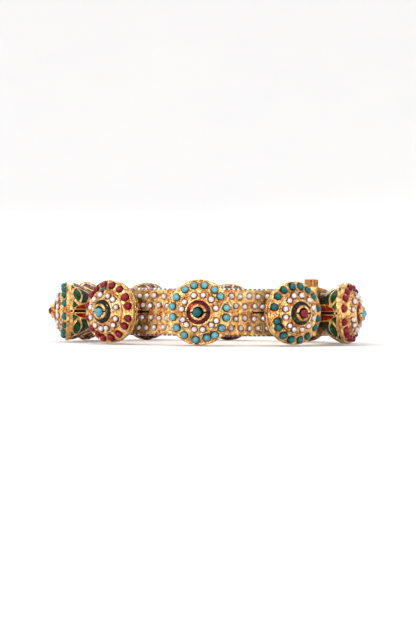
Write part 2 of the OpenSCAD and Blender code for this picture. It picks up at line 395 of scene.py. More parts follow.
@dataclass(frozen=True)
class Gold:
    """Hand-worked gold: bright where rubbed, orange-brown in stains, painted shade in creases and
    pits.

    Sizes and depths are in millimetres. Each range is where a pattern goes from none to all. The
    deep colour is laid both on the stains and as painted shade, and rough_dirt is what both add
    to the roughness.
    """

    name: str
    bright: Colour = tone(250, 212, 142)
    warm: Colour = tone(210, 146, 80)
    deep: Colour = tone(128, 58, 22)
    metallic: float = 0.9
    stain: float = 1.0
    patch_size: float = 1.6
    warm_range: tuple[float, float] = (0.62, 0.40)
    stain_range: tuple[float, float] = (0.60, 0.40)
    speckle_size: float = 0.5
    speckle_range: tuple[float, float] = (0.48, 0.62)
    crease: float = 1.1
    crease_depth: float = 0.10
    fold_share: float = 0.7
    hammer_share: float = 1.5
    grain_size: float = 0.35
    grain_depth: float = 0.035
    smooth: float = 0.16
    rough: float = 0.38
    rough_from: float = 0.3
    rough_dirt: float = 0.4

    def build(self) -> bpy.types.Material:
        """Makes the material.

        Returns:
            The gold, ready for a piece.
        """
        shader = Shader(self.name)
        patches = shader.noise(self.patch_size, detail=4.0, distortion=0.8)
        speckle = shader.noise(self.speckle_size, detail=4.0, distortion=1.0)
        fine = shader.noise(self.grain_size)
        worn = shader.mix(shader.step(patches, *self.warm_range), self.bright, self.warm)
        stained = shader.calc("MULTIPLY", shader.step(patches, *self.stain_range),
                              shader.step(speckle, *self.speckle_range))
        # Random stains, and painted shade in creases and pits from the painted_shade layer, both
        # in the deep colour
        stain_and_painted_shade = shader.calc("MAXIMUM", shader.calc("MULTIPLY", stained, self.stain),
                           shader.attribute(PAINTED_SHADE))
        dulled = shader.calc("ADD", fine, shader.calc("MULTIPLY", stain_and_painted_shade, self.rough_dirt))
        rough = shader.add("ShaderNodeMapRange")
        shader.feed(rough.inputs["Value"], dulled)
        rough.inputs["From Min"].default_value = self.rough_from
        rough.inputs["To Min"].default_value = self.smooth
        rough.inputs["To Max"].default_value = self.rough
        dents = shader.bump(shader.dents(self.crease), self.crease_depth)
        creases = shader.noise(self.crease * self.fold_share, detail=5.0, distortion=1.2)
        folds = shader.bump(creases, self.crease_depth, dents)
        hammered = shader.bump(speckle, self.crease_depth * self.hammer_share, folds)
        shader.set(
            Base_Color=shader.mix(stain_and_painted_shade, worn, self.deep),
            Metallic=self.metallic,
            Roughness=rough.outputs["Result"],
            Normal=shader.bump(fine, self.grain_depth, hammered),
        )
        return shader.material


@dataclass(frozen=True)
class Enamel:
    """Glassy enamel with dark patches, painted shade making its rims nearly black, and painted
    glints.

    Sizes and depths are in millimetres. Shades are shares of the body's light.
    """

    name: str
    body: Colour
    painted_glint: Colour
    painted_glint_share: float = 0.56
    painted_glint_edge: float = 0.09
    painted_glint_size: float = 1.4
    grain_size: float = 0.22
    grain_shade: float = 0.35
    rim_shade: float = 0.12
    ripple_size: float = 0.6
    ripple_depth: float = 0.03

    def build(self) -> bpy.types.Material:
        """Makes the material.

        Returns:
            The enamel, ready for a piece.
        """
        shader = Shader(self.name)
        patches = shader.noise(self.painted_glint_size, detail=2.0, distortion=0.6)
        fine = shader.step(shader.noise(self.grain_size, detail=2.0), *CLOUD_RANGE)
        body = shader.mix(fine, self.body, shaded(self.body, self.grain_shade))
        # Painted glints: brighter colour laid in random patches as painted highlights
        painted_glints = shader.step(patches, self.painted_glint_share, self.painted_glint_share + self.painted_glint_edge)
        lit = shader.mix(painted_glints, body, self.painted_glint)
        # Painted shade, from the painted_shade layer, at cell rims and in the ring's slot
        rim = shaded(self.body, self.rim_shade)
        shader.set(
            Base_Color=shader.mix(shader.attribute(PAINTED_SHADE), lit, rim),
            Roughness=0.12,
            IOR=1.45,
            Specular_IOR_Level=0.3,
            Normal=shader.bump(shader.noise(self.ripple_size, detail=2.0), self.ripple_depth),
        )
        return shader.material


@dataclass(frozen=True)
class Bead:
    """Polished opaque stone whose tone changes from bead to bead, with clouds and veins in it.

    Sizes and depths are in millimetres. Each share is the most that the pattern adds.
    """

    name: str
    light: Colour
    dark: Colour
    roughness: float
    cloud_size: float = 0.7
    cloud_share: float = 0.6
    tint_share: float = 0.5
    vein: Colour = tone(70, 50, 30)
    vein_size: float = 0.9
    vein_range: tuple[float, float] = (0.62, 0.70)
    vein_share: float = 0.0
    grain_size: float = 0.30
    grain_depth: float = 0.02

    def build(self) -> bpy.types.Material:
        """Makes the material.

        Returns:
            The stone, ready for a piece.
        """
        shader = Shader(self.name)
        clouds = shader.step(shader.noise(self.cloud_size, distortion=0.5), *CLOUD_RANGE)
        share = shader.calc("ADD", shader.calc("MULTIPLY", clouds, self.cloud_share),
                            shader.calc("MULTIPLY", shader.attribute(TINT), self.tint_share))
        cracks = shader.noise(self.vein_size, detail=5.0, distortion=1.5)
        veins = shader.calc("MULTIPLY", shader.step(cracks, *self.vein_range), self.vein_share)
        shader.set(
            Base_Color=shader.mix(veins, shader.mix(share, self.light, self.dark), self.vein),
            Roughness=self.roughness,
            IOR=1.5,
            Specular_IOR_Level=0.28,
            Coat_Weight=0.08,
            Coat_Roughness=0.05,
            Normal=shader.bump(shader.noise(self.grain_size), self.grain_depth),
        )
        return shader.material


@dataclass(frozen=True)
class Pearl:
    """Seed pearl: white with a soft gloss and painted grey-mauve shade towards its seat; sizes in
    millimetres.
    """

    name: str
    light: Colour = tone(224, 217, 226)
    cream: Colour = tone(216, 203, 206)
    # The colour of the painted shade towards the seat
    seat: Colour = tone(112, 78, 106)
    cloud_size: float = 0.8
    cloud_range: tuple[float, float] = (0.4, 0.7)
    cloud_share: float = 0.3
    ripple_size: float = 0.4
    ripple_depth: float = 0.012

    def build(self) -> bpy.types.Material:
        """Makes the material.

        Returns:
            The pearl, ready for a piece.
        """
        shader = Shader(self.name)
        clouds = shader.step(shader.noise(self.cloud_size, detail=2.0), *self.cloud_range)
        # Random clouds, and painted shade towards the seat from the painted_shade layer
        clouds_and_painted_shade = shader.calc("ADD", shader.calc("MULTIPLY", clouds, self.cloud_share),
                           shader.attribute(PAINTED_SHADE))
        body = shader.mix(shader.attribute(TINT), self.light, self.cream)
        shader.set(
            Base_Color=shader.mix(clouds_and_painted_shade, body, self.seat),
            Roughness=0.2,
            Coat_Weight=1.0,
            Coat_IOR=1.9,
            Coat_Roughness=0.05,
            Normal=shader.bump(shader.noise(self.ripple_size, detail=2.0), self.ripple_depth),
        )
        return shader.material


@dataclass(frozen=True)
class DottedEnamel:
    """Dark blue enamel of the band's sloping edges, with white and rose dots on tinted points.

    Sizes and depths are in millimetres. Each range is where a pattern goes from none to all.
    """

    name: str
    body: Colour = tone(40, 42, 74)
    white: Colour = tone(240, 236, 240)
    rose: Colour = tone(206, 96, 132)
    dot_range: tuple[float, float] = (0.52, 0.66)
    rose_size: float = 3.0
    rose_range: tuple[float, float] = (0.52, 0.56)
    ripple_size: float = 0.5
    ripple_depth: float = 0.03

    def build(self) -> bpy.types.Material:
        """Makes the material.

        Returns:
            The dotted enamel, ready for a piece.
        """
        shader = Shader(self.name)
        dots = shader.step(shader.attribute(TINT), *self.dot_range)
        rosy = shader.step(shader.noise(self.rose_size, detail=1.0), *self.rose_range)
        shader.set(
            Base_Color=shader.mix(dots, self.body, shader.mix(rosy, self.white, self.rose)),
            Roughness=0.15,
            Coat_Weight=0.3,
            Normal=shader.bump(shader.noise(self.ripple_size, detail=2.0), self.ripple_depth),
        )
        return shader.material


@dataclass(frozen=True)
class Lac:
    """The dark resin that fills the cups and shows in their slits; sizes are in millimetres."""

    name: str
    body: Colour = tone(20, 10, 9)
    dust: Colour = tone(44, 22, 16)
    grain_size: float = 0.4
    grain_depth: float = 0.05
    dust_range: tuple[float, float] = (0.5, 0.7)

    def build(self) -> bpy.types.Material:
        """Makes the material.

        Returns:
            The lac, ready for a piece.
        """
        shader = Shader(self.name)
        grain = shader.noise(self.grain_size, detail=4.0)
        shader.set(
            Base_Color=shader.mix(shader.step(grain, *self.dust_range), self.body, self.dust),
            Roughness=0.85,
            Specular_IOR_Level=0.2,
            Normal=shader.bump(grain, self.grain_depth),
        )
        return shader.material


class Finishes:
    """Every finish of the bangle, made once."""

    def __init__(self) -> None:
        """Makes the materials."""
        self.foil = Gold("gold_foil").build()
        self.band = Gold("band_foil", smooth=0.26, rough=0.50).build()
        self.solid = Gold("gold_smooth", crease=2.4, crease_depth=0.06, stain=0.12, smooth=0.14,
                          rough=0.30).build()
        self.wire = Gold("gold_wire", bright=tone(255, 228, 166), warm=tone(234, 186, 116),
                         crease=0.5, crease_depth=0.03, stain=0.4, rough=0.34).build()
        self.worn = Gold("gold_worn", bright=tone(208, 150, 86), warm=tone(164, 102, 52),
                         crease=1.6, crease_depth=0.06, stain=0.4, rough=0.45).build()
        self.pearl = Pearl("seed_pearl").build()
        self.lac = Lac("lac").build()
        self.edge = DottedEnamel("edge_enamel").build()
        self.leaf = Enamel("leaf_enamel", body=tone(2, 74, 36), painted_glint=tone(14, 124, 56),
                           painted_glint_share=0.55, painted_glint_size=0.8).build()
        self.lobe = Enamel("lobe_enamel", body=tone(22, 56, 48), painted_glint=tone(10, 104, 52),
                           painted_glint_share=0.56, painted_glint_size=1.2).build()
        self.petal = Enamel("petal_enamel", body=tone(168, 18, 10), painted_glint=tone(214, 74, 26),
                            painted_glint_share=0.60, painted_glint_size=0.9).build()
        # The panel's light-grey glints are painted reflections
        self.panel = Enamel("panel_enamel", body=tone(104, 38, 54), painted_glint=tone(158, 122, 132),
                            painted_glint_share=0.52, painted_glint_size=1.4).build()
        self.rings = {
            RingEnamel.MAROON: Enamel(
                "maroon_enamel", body=tone(96, 8, 34), painted_glint=tone(214, 28, 44),
                painted_glint_share=0.57, painted_glint_size=1.8).build(),
            RingEnamel.DARK_GREEN: Enamel(
                "dark_enamel", body=tone(26, 34, 36), painted_glint=tone(0, 122, 52),
                painted_glint_share=0.56, painted_glint_size=1.6).build(),
        }
        self.stones = {
            Stone.TURQUOISE: Bead("turquoise", tone(112, 186, 194), tone(62, 142, 160),
                                  roughness=0.30, vein_share=0.5).build(),
            Stone.RUBY: Bead("ruby", tone(156, 16, 46), tone(90, 3, 24), roughness=0.22).build(),
            Stone.EMERALD: Bead("emerald", tone(6, 116, 118), tone(0, 78, 82),
                                roughness=0.22).build(),
        }

    def cup(self) -> list[bpy.types.Material]:
        """The finishes of a cup's side, in the order of CupPart."""
        return [self.wire, self.leaf, self.lobe, self.petal, self.panel, self.lac]


@dataclass(frozen=True)
class Seat:
    """Where a boss stands: the middle of its cup's rim and its outward direction.

    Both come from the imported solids. The matrix takes millimetres on the boss to the frame, and
    bead_level is the height of the beads' centres over the rim.
    """

    name: str
    body: str
    matrix: Matrix
    outward: Vector
    bead_level: float = 0.85

    @classmethod
    def of(cls, name: str) -> "Seat":
        """Works out a boss's place from its ring of beads and its middle bead.

        Args:
            name: The boss's letter.

        Returns:
            Its seat, whose matrix takes millimetres on the boss to metres in the frame.
        """
        ring = sum(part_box(f"beads_{name}"), Vector()) / 2
        middle = sum(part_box(f"centre_bead_{name}"), Vector()) / 2
        outward = (middle - ring).normalized()
        origin = ring - outward * cls.bead_level * MM
        along = UP.cross(outward).normalized()
        turn = Matrix((along, outward.cross(along), outward)).transposed().to_4x4()
        matrix = Matrix.Translation(origin) @ turn @ Matrix.Scale(MM, 4)
        body = frame["nodes"][f"face_{name}"]["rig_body"]
        return cls(name, body, matrix, outward)

    def angle_on(self, radius: float) -> float:
        """The angle at which the boss's axis meets a round wall.

        Args:
            radius: The wall's radius in millimetres.

        Returns:
            The angle from -Y towards +X, in degrees.
        """
        start = self.matrix.translation / MM
        along = start.dot(self.outward)
        flat = start.x ** 2 + start.y ** 2
        back = along - math.sqrt(along ** 2 - flat + radius ** 2)
        foot = start - self.outward * back
        return math.degrees(math.atan2(foot.x, -foot.y))


def slot_of(node: str) -> str:
    """The record's material slot of a node."""
    return next(row["material_slot"] for row in frame["record"]["subparts"] if row["node"] == node)


def waver(point: Vector, size: float, seed: float) -> float:
    """Smooth random relief between about -1 and 1.

    Args:
        point: A place in millimetres.
        size: The size of its humps, in millimetres.
        seed: Moves the relief, so that pieces differ.

    Returns:
        The relief at that place.
    """
    return noise.noise(point / size + Vector([seed * stride for stride in SEED_STRIDES]))


def apart(first: float, second: float) -> float:
    """How many degrees two angles are apart, from 0 to 180."""
    return abs((first - second + 540) % 360 - 180)


def pull(vert: bmesh.types.BMVert, factor: float) -> None:
    """Moves a point away from the z axis, or towards it where the factor is below 1."""
    vert.co.x *= factor
    vert.co.y *= factor


def chain(mesh: bmesh.types.BMesh, points: Sequence[tuple[float, float]], step: float,
          closed: bool = False, plain: int = 0) -> Geometry:
    """Adds an outline in the plane of x and z, cut into short edges.

    Args:
        mesh: The mesh to add to.
        points: The outline's corners, as (x, z) in millimetres.
        step: The longest edge that it may keep.
        closed: Whether the last point joins the first.
        plain: How many edges at its end are left whole.

    Returns:
        Its points and edges, ready to spin.
    """
    verts = [mesh.verts.new((x, 0.0, z)) for x, z in points]
    ends = verts[1:] + verts[:1] if closed else verts[1:]
    edges = [mesh.edges.new(pair) for pair in zip(verts, ends)]
    for edge in edges[:len(edges) - plain]:
        cuts = math.ceil(edge.calc_length() / step) - 1
        if cuts > 0:
            bmesh.ops.subdivide_edges(mesh, edges=[edge], cuts=cuts)
    return mesh.verts[:] + mesh.edges[:]


def spin(mesh: bmesh.types.BMesh, geometry: Geometry, steps: int,
         angle: float = math.tau) -> None:
    """Turns an outline round the z axis.

    Args:
        mesh: The mesh that holds the outline.
        geometry: Its points and edges.
        steps: The number of steps.
        angle: How far it turns, in radians.
    """
    full = math.isclose(angle, math.tau)
    bmesh.ops.spin(mesh, geom=geometry, cent=(0, 0, 0), axis=(0, 0, 1), angle=angle, steps=steps,
                   use_merge=full, use_duplicate=False)
    bmesh.ops.remove_doubles(mesh, verts=mesh.verts, dist=SAME_POINT)


def close(mesh: bmesh.types.BMesh) -> None:
    """Closes each open end of a mesh with one face."""
    bmesh.ops.holes_fill(mesh, edges=[e for e in mesh.edges if e.is_boundary], sides=0)


def join(mesh: bmesh.types.BMesh, other: bmesh.types.BMesh) -> None:
    """Adds all of one bmesh to another, with its faces outwards.

    Args:
        mesh: The mesh to add to.
        other: What is added, which is freed.
    """
    bmesh.ops.recalc_face_normals(other, faces=other.faces)
    data = bpy.data.meshes.new("part")
    other.to_mesh(data)
    other.free()
    mesh.from_mesh(data)
    bpy.data.meshes.remove(data)


def balls(mesh: bmesh.types.BMesh, places: Iterable[Ball], fineness: int, lumps: float,
          dice: random.Random, outward: Callable[[Vector], Vector]) -> None:
    """Adds slightly uneven balls, each with a tone of its own and with painted shade towards its
    seat.

    Args:
        mesh: The mesh to add to.
        places: The balls' centres and radii.
        fineness: How often each one's faces are divided.
        lumps: How uneven they are, as a share of the radius.
        dice: Where the chance comes from.
        outward: Gives the direction away from the seat at a centre.
    """
    tints = mesh.verts.layers.float.new(TINT)
    painted_shades = mesh.verts.layers.float.new(PAINTED_SHADE)
    for centre, radius in places:
        seed = dice.random() * BALL_SEEDS
        tint = dice.random()
        made = bmesh.ops.create_icosphere(mesh, subdivisions=fineness, radius=radius)["verts"]
        for vert in made:
            # Painted shade grows towards the seat, below the ball's middle
            depth = -vert.co.dot(outward(centre)) / radius
            vert.co *= 1 + lumps * waver(vert.co, radius, seed)
            vert.co += centre
            vert[tints] = tint
            vert[painted_shades] = min(max(BALL_PAINTED_SHADE + BALL_PAINTED_SHADE_SLOPE * depth, 0.0), 1.0)


def smooth_faces(data: bpy.types.Mesh, smooth: bool = True) -> None:
    """Makes all faces of a mesh shade smoothly, or all flat."""
    data.polygons.foreach_set("use_smooth", [smooth] * len(data.polygons))


def publish(mesh: bmesh.types.BMesh, name: str, body: str,
            finishes: Sequence[bpy.types.Material], matrix: Matrix,
            stands_for: Sequence[str] = (), smooth: bool = True) -> None:
    """Turns a finished bmesh into a piece that rides on a body.

    Args:
        mesh: The mesh, which is freed.
        name: The piece's name.
        body: The body that it moves with.
        finishes: Its materials, in the order that its faces number them.
        matrix: Takes it to its place.
        stands_for: The solids that it replaces.
        smooth: Whether its faces shade smoothly.
    """
    mesh.transform(matrix)
    bmesh.ops.recalc_face_normals(mesh, faces=mesh.faces)
    data = bpy.data.meshes.new(name)
    mesh.to_mesh(data)
    mesh.free()
    smooth_faces(data, smooth)
    for finish in finishes:
        data.materials.append(finish)
    piece = bpy.data.objects.new(name, data)
    bpy.context.scene.collection.objects.link(piece)
    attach(piece, body)
    if stands_for:
        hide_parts(*stands_for)
    LOG.info("%s: %d faces", name, len(data.polygons))


def dress(node: str, finish: bpy.types.Material) -> None:
    """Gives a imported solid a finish.

    Args:
        node: The solid's node.
        finish: Its material.
    """
    slots = frame["nodes"][node].data.materials
    slots.clear()
    slots.append(finish)


@dataclass(frozen=True)
class Cell:
    """One enamel cell of a quarter of a cup's side.

    Its corners are (degrees from the slit, part of the way from the collar to the foot), and each
    side bows outwards by as many millimetres as bows says, or inwards below 0. Its enamel rises
    by dome.
    """

    part: CupPart
    corners: tuple[tuple[float, float], ...]
    bows: tuple[float, ...]
    dome: float = 0.05


@dataclass(frozen=True)
class DomeStep:
    """One step in a cell's domed enamel, from its wire inwards.

    Size is a share of the step before, rise a share of the dome, and shade its painted shade.
    """

    size: float
    rise: float
    shade: float


QUARTER_CELLS = (
    Cell(CupPart.LEAF, ((19.5, 0.21), (54.5, 0.13)), bows=(1.22, 1.22), dome=0.08),
    Cell(CupPart.LEAF, ((22.5, -0.02), (6.5, -0.06), (12.0, 0.20)), bows=(-0.10, 0.10, 0.0)),
    Cell(CupPart.LEAF, ((60.5, -0.09), (40.0, -0.11), (55.5, 0.06)), bows=(0.0, -0.15, 0.05)),
    Cell(CupPart.LOBE,
         ((56.5, 0.20), (56.0, 0.66), (55.0, 0.95), (29.0, 0.95), (23.0, 0.66), (17.5, 0.33)),
         bows=(0.0, 0.0, 0.0, 0.0, 0.05, -1.0), dome=0.08),
    Cell(CupPart.PETAL,
         ((4.8, 0.08), (12.5, 0.32), (18.0, 0.66), (23.0, 0.95), (6.5, 0.95), (5.2, 0.40)),
         bows=(0.15, 0.05, 0.0, 0.0, 0.0, 0.0), dome=0.08),
)
PANEL_STARTS = (61.0, 81.75, 102.5)
PANEL_WIDTH = 16.5
PANEL_TOP = 0.02
PANEL_FOOT = 0.93
TOP_CELLS = tuple(
    Cell(CupPart.PANEL,
         ((start, PANEL_TOP), (start + PANEL_WIDTH, PANEL_TOP),
          (start + PANEL_WIDTH, PANEL_FOOT), (start, PANEL_FOOT)),
         bows=(0.0, 0.0, 0.0, 0.0))
    for start in PANEL_STARTS
)
DOME_STEPS = (DomeStep(size=0.80, rise=0.5, shade=0.25), DomeStep(size=0.45, rise=0.4, shade=0.0))
DOME_PEAK = 0.1
# Each takes the degrees of the first quarter of a cup's side to one of the quarters
QUARTERS = (lambda a: a, lambda a: -a, lambda a: 180 - a, lambda a: 180 + a)


@dataclass
class CupSide:
    """The enamelled side of a cup: gold ground, raised wires, enamel cells and lac in its slits.

    Sizes are in millimetres. A part says how far a place is from the collar to the foot, from 0
    to 1, and is below 0 on the collar. Cells are drawn flat, plan_r and plan_l millimetres to the
    radian and to the whole part, and then bent round the side.
    """

    face_r: float = 8.15
    lift: float = USUAL_LIFT
    lip: float = 0.2
    collar_h: float = 1.55
    collar_lap: float = 0.02
    cup_h: float = 7.4
    foot_r: float = 4.2
    bulge: float = 1.4
    skin: float = 0.28
    first: float = 0.05
    last: float = 0.985
    ground_rows: int = 12
    ground_step: float = 1.0
    ground_steps: int = 84
    plan_r: float = 6.6
    plan_l: float = 6.8
    wire_w: float = 0.20
    wire_h: float = 0.13
    wire_round: float = 0.05
    wire_root: float = 0.12
    enamel_h: float = 0.07
    cell_points: int = 24
    slit: float = 0.5
    slit_steps: int = 24
    slit_sheet: float = 0.2
    slit_lift: float = 0.04
    slit_sink: float = 0.02
    slit_depth: float = 0.5
    slit_flare: float = 0.36
    loop_r: float = 0.40
    loop_wire: float = 0.15
    loop_wire_steps: int = 8
    loop_steps: int = 24
    loop_part: float = -0.085
    loop_stretch: float = 1.35
    loop_lift: float = 0.03

    def point(self, degrees: float, part: float, height: float) -> Vector:
        """A place on the cup's side or, where the part is below 0, on its collar.

        Args:
            degrees: The angle round the boss's axis, from its right side.
            part: How far it is from the collar to the foot, from 0 to 1.
            height: How far it stands off the side.

        Returns:
            The place on the boss, in millimetres.
        """
        drop = self.cup_h - self.collar_h
        top = self.face_r - 2 * self.lip
        turn = math.radians(degrees)
        if part < 0.0:
            radius = top + self.lip * min(-part / self.collar_lap, 1.0) + height
            level = -self.collar_h - part * drop
        else:
            spread = top - self.foot_r
            slope = spread * self.bulge * part ** (self.bulge - 1)
            length = math.hypot(drop, slope)
            radius = top - spread * part ** self.bulge + height * drop / length
            level = -self.collar_h - part * drop - height * slope / length
        return Vector((radius * math.cos(turn), radius * math.sin(turn), level))

    def add_ground(self, mesh: bmesh.types.BMesh) -> None:
        """Adds the gold ground as two half shells, with the slits between them.

        Args:
            mesh: The mesh to add to.
        """
        length = self.last - self.first
        rows = [self.first + length * i / self.ground_rows for i in range(self.ground_rows + 1)]
        outer = [self.point(0.0, part, 0.0) for part in rows]
        inner = [self.point(0.0, part, -self.skin) for part in reversed(rows)]
        edge = math.degrees(self.slit / 2 / self.plan_r)
        for start in (edge, 180 + edge):
            shell = bmesh.new()
            corners = [(place.x, place.z) for place in outer + inner]
            outline = chain(shell, corners, self.ground_step, closed=True)
            turn = Matrix.Rotation(math.radians(start), 4, "Z")
            bmesh.ops.transform(shell, matrix=turn, verts=shell.verts)
            spin(shell, outline, self.ground_steps, math.radians(180 - 2 * edge))
            close(shell)
            join(mesh, shell)

    def outline(self, plate: bmesh.types.BMesh, cell: Cell) -> bmesh.types.BMFace:
        """Starts a cell as one flat face, with its degrees and parts rolled out to millimetres.

        Args:
            plate: An empty mesh.
            cell: The cell.

        Returns:
            The face, at the height where the enamel meets its wire.
        """
        sides = len(cell.corners)
        per_side = self.cell_points // sides
        ring = bmesh.ops.create_circle(plate, cap_ends=True, segments=sides * per_side,
                                       radius=1.0)["verts"]
        flat = [Vector((math.radians(degrees) * self.plan_r, part * self.plan_l, self.enamel_h))
                for degrees, part in cell.corners]
        middle = sum(flat, Vector()) / sides
        for index, vert in enumerate(ring):
            side, step = divmod(index, per_side)
            first, last = flat[side], flat[(side + 1) % sides]
            share = step / per_side
            along = (last - first).normalized()
            away = Vector((along.y, -along.x, 0.0))
            if sides > 2 and away.dot((first + last) / 2 - middle) < 0:
                away = -away
            # A bow is 0 at both corners of its side and whole halfway
            bow = cell.bows[side] * 4 * share * (1 - share)
            vert.co = first.lerp(last, share) + away * bow
        return plate.faces[:][0]

    def widen(self, plate: bmesh.types.BMesh, middle: Vector, width: float, level: float) -> None:
        """Grows a strip outwards from the open edges of a cell.

        Args:
            plate: The cell so far.
            middle: The cell's middle.
            width: The strip's width in millimetres.
            level: The height of its new edge.
        """
        rim = [edge for edge in plate.edges if edge.is_boundary]
        bmesh.ops.extrude_edge_only(plate, edges=rim)
        moves = {}
        for vert in plate.verts:
            open_edges = [edge for edge in vert.link_edges if edge.is_boundary]
            if len(open_edges) == 2:
                first, last = (edge.other_vert(vert).co for edge in open_edges)
                away = Vector((last.y - first.y, first.x - last.x, 0.0)).normalized()
                if away.dot(vert.co - middle) < 0:
                    away = -away
                moves[vert] = away * width
        for vert, move in moves.items():
            vert.co += move
            vert.co.z = level

    def add_cell(self, mesh: bmesh.types.BMesh, cell: Cell,
                 turned: Callable[[float], float]) -> None:
        """Adds one cell: a raised wire round domed enamel, with painted shade at its rim.

        Args:
            mesh: The mesh to add to.
            cell: The cell.
            turned: Takes its degrees to the quarter where it goes.
        """
        plate = bmesh.new()
        painted_shades = plate.verts.layers.float.new(PAINTED_SHADE)
        top = self.outline(plate, cell)
        middle = sum((vert.co for vert in top.verts), Vector()) / len(top.verts)
        bmesh.ops.recalc_face_normals(plate, faces=[top])
        self.widen(plate, middle, self.wire_round, self.wire_h)
        self.widen(plate, middle, self.wire_w - 2 * self.wire_round, self.wire_h)
        self.widen(plate, middle, self.wire_round, 0.0)
        close(plate)
        wires = set(plate.faces) - {top}
        # The enamel next to the wire gets full painted shade, and less further in
        for vert in top.verts:
            vert[painted_shades] = 1.0
        for step in DOME_STEPS:
            top = bmesh.ops.extrude_discrete_faces(plate, faces=[top])["faces"][0]
            bmesh.ops.scale(plate, verts=top.verts[:], vec=(step.size, step.size, 1.0),
                            space=Matrix.Translation(-middle))
            for vert in top.verts:
                vert.co.z += cell.dome * step.rise
                vert[painted_shades] = step.shade
        for vert in bmesh.ops.poke(plate, faces=[top])["verts"]:
            vert.co.z += cell.dome * DOME_PEAK
        for face in plate.faces:
            part = CupPart.WIRE if face in wires else cell.part
            face.material_index = part.value
        for vert in plate.verts:
            height = vert.co.z if vert.co.z > NEAR_ZERO else -self.wire_root
            degrees = turned(math.degrees(vert.co.x / self.plan_r))
            vert.co = self.point(degrees, vert.co.y / self.plan_l + self.lift, height)
        join(mesh, plate)

    def add_slit(self, mesh: bmesh.types.BMesh, degrees: float) -> None:
        """Adds the lac in one slit, from the loop on the collar to the foot.

        Args:
            mesh: The mesh to add to.
            degrees: The side that it is on, 0 or 180.
        """
        strip = bmesh.new()
        bmesh.ops.create_grid(strip, x_segments=self.slit_steps, y_segments=1, size=0.5)
        bmesh.ops.solidify(strip, geom=strip.faces[:], thickness=self.slit_sheet)
        start = self.loop_part - self.loop_r * self.loop_stretch / self.plan_l
        for vert in strip.verts:
            part = start + (self.last - start) * (vert.co.x + 0.5)
            sunk = min(max(part / self.first, 0.0), 1.0)
            on_top = abs(vert.co.z) < self.slit_sheet / 2
            level = self.slit_lift - self.slit_sink * sunk if on_top else -self.slit_depth
            side = vert.co.y * self.slit * (1.0 + self.slit_flare * sunk)
            vert.co = self.point(degrees, part, level)
            vert.co.y = side
        for face in strip.faces:
            face.material_index = CupPart.LAC.value
        join(mesh, strip)

    def add_loop(self, mesh: bmesh.types.BMesh, degrees: float) -> None:
        """Adds the gold loop round a slit's end on the collar.

        Args:
            mesh: The mesh to add to.
            degrees: The side that it is on, 0 or 180.
        """
        loop = bmesh.new()
        around = bmesh.ops.create_circle(loop, segments=self.loop_wire_steps,
                                         radius=self.loop_wire)["verts"]
        bmesh.ops.rotate(loop, verts=around, cent=(0, 0, 0),
                         matrix=Matrix.Rotation(math.pi / 2, 3, "X"))
        bmesh.ops.translate(loop, verts=around, vec=(self.loop_r, 0, 0))
        spin(loop, loop.verts[:] + loop.edges[:], self.loop_steps)
        for vert in loop.verts:
            part = self.loop_part + vert.co.x * self.loop_stretch / self.plan_l
            offset = math.degrees(vert.co.y / self.plan_r)
            height = vert.co.z + self.loop_lift
            vert.co = self.point(degrees + offset, min(part, -self.collar_lap), height)
            vert.co.z -= max(part + self.collar_lap, 0.0) * (self.cup_h - self.collar_h)
        join(mesh, loop)

    def build(self, seat: Seat, finishes: Finishes) -> None:
        """Makes the side of one cup.

        Args:
            seat: Where the boss stands.
            finishes: The bangle's finishes.
        """
        mesh = bmesh.new()
        mesh.verts.layers.float.new(PAINTED_SHADE)
        self.add_ground(mesh)
        for turned in QUARTERS:
            for cell in QUARTER_CELLS:
                self.add_cell(mesh, cell, turned)
        for turned in QUARTERS[:2]:
            for cell in TOP_CELLS:
                self.add_cell(mesh, cell, turned)
        for degrees in (0.0, 180.0):
            self.add_slit(mesh, degrees)
            self.add_loop(mesh, degrees)
        node = f"cup_skin_{seat.name}"
        publish(mesh, f"cup_enamel_{seat.name}", seat.body, finishes.cup(),
                seat.matrix, [node])


@dataclass(frozen=True)
class StoneRing:
    """A ring of stones on a boss's face, in millimetres.

    Level is the height of their centres over the cup's rim, sway how far a stone may be from its
    even place, and lumps how uneven it is, as a share of its radius.
    """

    count: int
    ring_r: float
    level: float
    radius: float
    sway: float
    lumps: float
    fineness: int = 2
    size_range: tuple[float, float] = (0.96, 1.07)

    def places(self, dice: random.Random, nudges: Sequence[Nudge]) -> list[Ball]:
        """Places the stones a little unevenly.

        Args:
            dice: Where the chance comes from.
            nudges: The stones that lie well off their even places.

        Returns:
            Their centres and radii.
        """
        off = {nudge.stone: nudge for nudge in nudges}
        placed = []
        for index in range(self.count):
            nudge = off.get(index, Nudge(index, 0.0))
            turn = (math.tau * (index + 0.5) / self.count
                    + dice.uniform(-self.sway, self.sway) / self.ring_r
                    + math.radians(nudge.degrees))
            out = self.ring_r + dice.uniform(-self.sway, self.sway) * 0.5 + nudge.out
            centre = Vector((out * math.cos(turn), out * math.sin(turn), self.level))
            placed.append((centre, self.radius * dice.uniform(*self.size_range)))
        return placed


